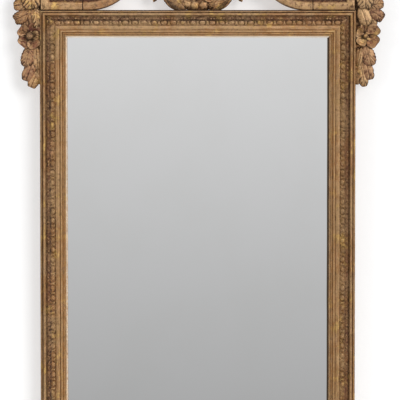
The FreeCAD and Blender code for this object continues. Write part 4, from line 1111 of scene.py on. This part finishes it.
def stagePlane(name, low, high, finish):
    # one face between two opposite corners, whose first edge runs along x
    mesh = bpy.data.meshes.new(name)
    mesh.from_pydata([low, (high[0], *low[1:]), high, (low[0], *high[1:])], [], [(0, 1, 2, 3)])
    mesh.materials.append(finish)
    putIn(name, mesh)


def wallFinish():
    # white to the camera but for the shadow on it; clear from behind and to light
    paint = newFinish("wall_white")
    path = paint.node("ShaderNodeLightPath", out="Is Camera Ray")
    behind = paint.node("ShaderNodeNewGeometry", out="Backfacing")
    shade = paint.node("ShaderNodeBsdfDiffuse", {}, {"Color": grey(room["wallTone"])})
    glow = paint.node("ShaderNodeEmission", {}, {"Color": grey(1.0), "Strength": room["wallGlow"]})
    both = paint.node("ShaderNodeAddShader", {}, {0: shade, 1: glow})
    clear = paint.node("ShaderNodeBsdfTransparent")
    seen = path * (1.0 - behind)
    paint.node("ShaderNodeOutputMaterial", {}, {"Surface": paint.node(
        "ShaderNodeMixShader", {}, {0: seen, 1: clear, 2: both})})
    return paint.owner


def floorFinish():
    # pale grey, a little cloudy
    paint = newFinish("floor_pale")
    cloud = paint.noise(paint.stretched(), 2.0, 2.0)
    dark, light = room["floorTones"]
    return paint.surface(Base_Color=paint.mix(cloud, grey(dark), grey(light)), Roughness=0.9)


half, front = room["half"], room["floorFront"]
stagePlane("wall", (-half, room["wallY"], 0), (half, room["wallY"], room["wallHigh"]), wallFinish())
stagePlane("floor", (-half, -front, room["floorZ"]), (half, front, room["floorZ"]), floorFinish())


def roomLight():
    # white to the camera, a grey that brightens upwards in reflections, plain soft light elsewhere
    world = bpy.data.worlds.new("room")
    bpy.context.scene.world = world
    paint = Paint(world)
    place = paint.node("ShaderNodeTexCoord", out="Generated")
    rise = paint.node("ShaderNodeSeparateXYZ", {}, {0: place}, out="Z")
    stops = [(height, grey(level)) for height, level in room["greys"]]
    shown = paint.node("ShaderNodeValToRGB", {"stops": stops}, {0: rise * 0.5 + 0.5})
    colour = grey(room["ambient"])
    for ray, tone in (("Glossy", shown), ("Transmission", shown), ("Camera", grey(1.0))):
        colour = paint.mix(paint.node("ShaderNodeLightPath", out=f"Is {ray} Ray"), colour, tone)
    paint.node("ShaderNodeOutputWorld", {}, {"Surface": paint.node(
        "ShaderNodeBackground", {}, {"Color": colour, "Strength": 1.0})})


def facing(way):
    # the turn that points a light's -Z against way
    way = np.array(way) / np.linalg.norm(way)
    return math.acos(way[2]), 0, math.atan2(way[0], -way[1])


roomLight()
sun = bpy.data.lights.new("window", "SUN")
sun.energy, sun.angle = room["sun"], math.radians(room["sunAngle"])
putIn("window", sun).rotation_euler = facing(room["sunFrom"])
for name, place, aim, size, power in room["lamps"]:
    data = bpy.data.lights.new(name, "AREA")
    data.shape, data.size, data.energy = "DISK", size, power
    lamp = putIn(name, data)
    lamp.location = place
    lamp.rotation_euler = facing(np.array(place) - np.array(aim))

view = {"place": (0.0052, -4.0, 0.86), "pitch": -1.916, "lens": 156.5, "sensor": 36.0}
lens = bpy.data.cameras.new("camera")
lens.lens, lens.sensor_width = view["lens"], view["sensor"]
camera = putIn("camera", lens)
camera.location = view["place"]
camera.rotation_euler = (math.radians(90 + view["pitch"]), 0, 0)
bpy.context.scene.camera = camera
bpy.context.scene.view_settings.view_transform = "Standard"
print("room lit")
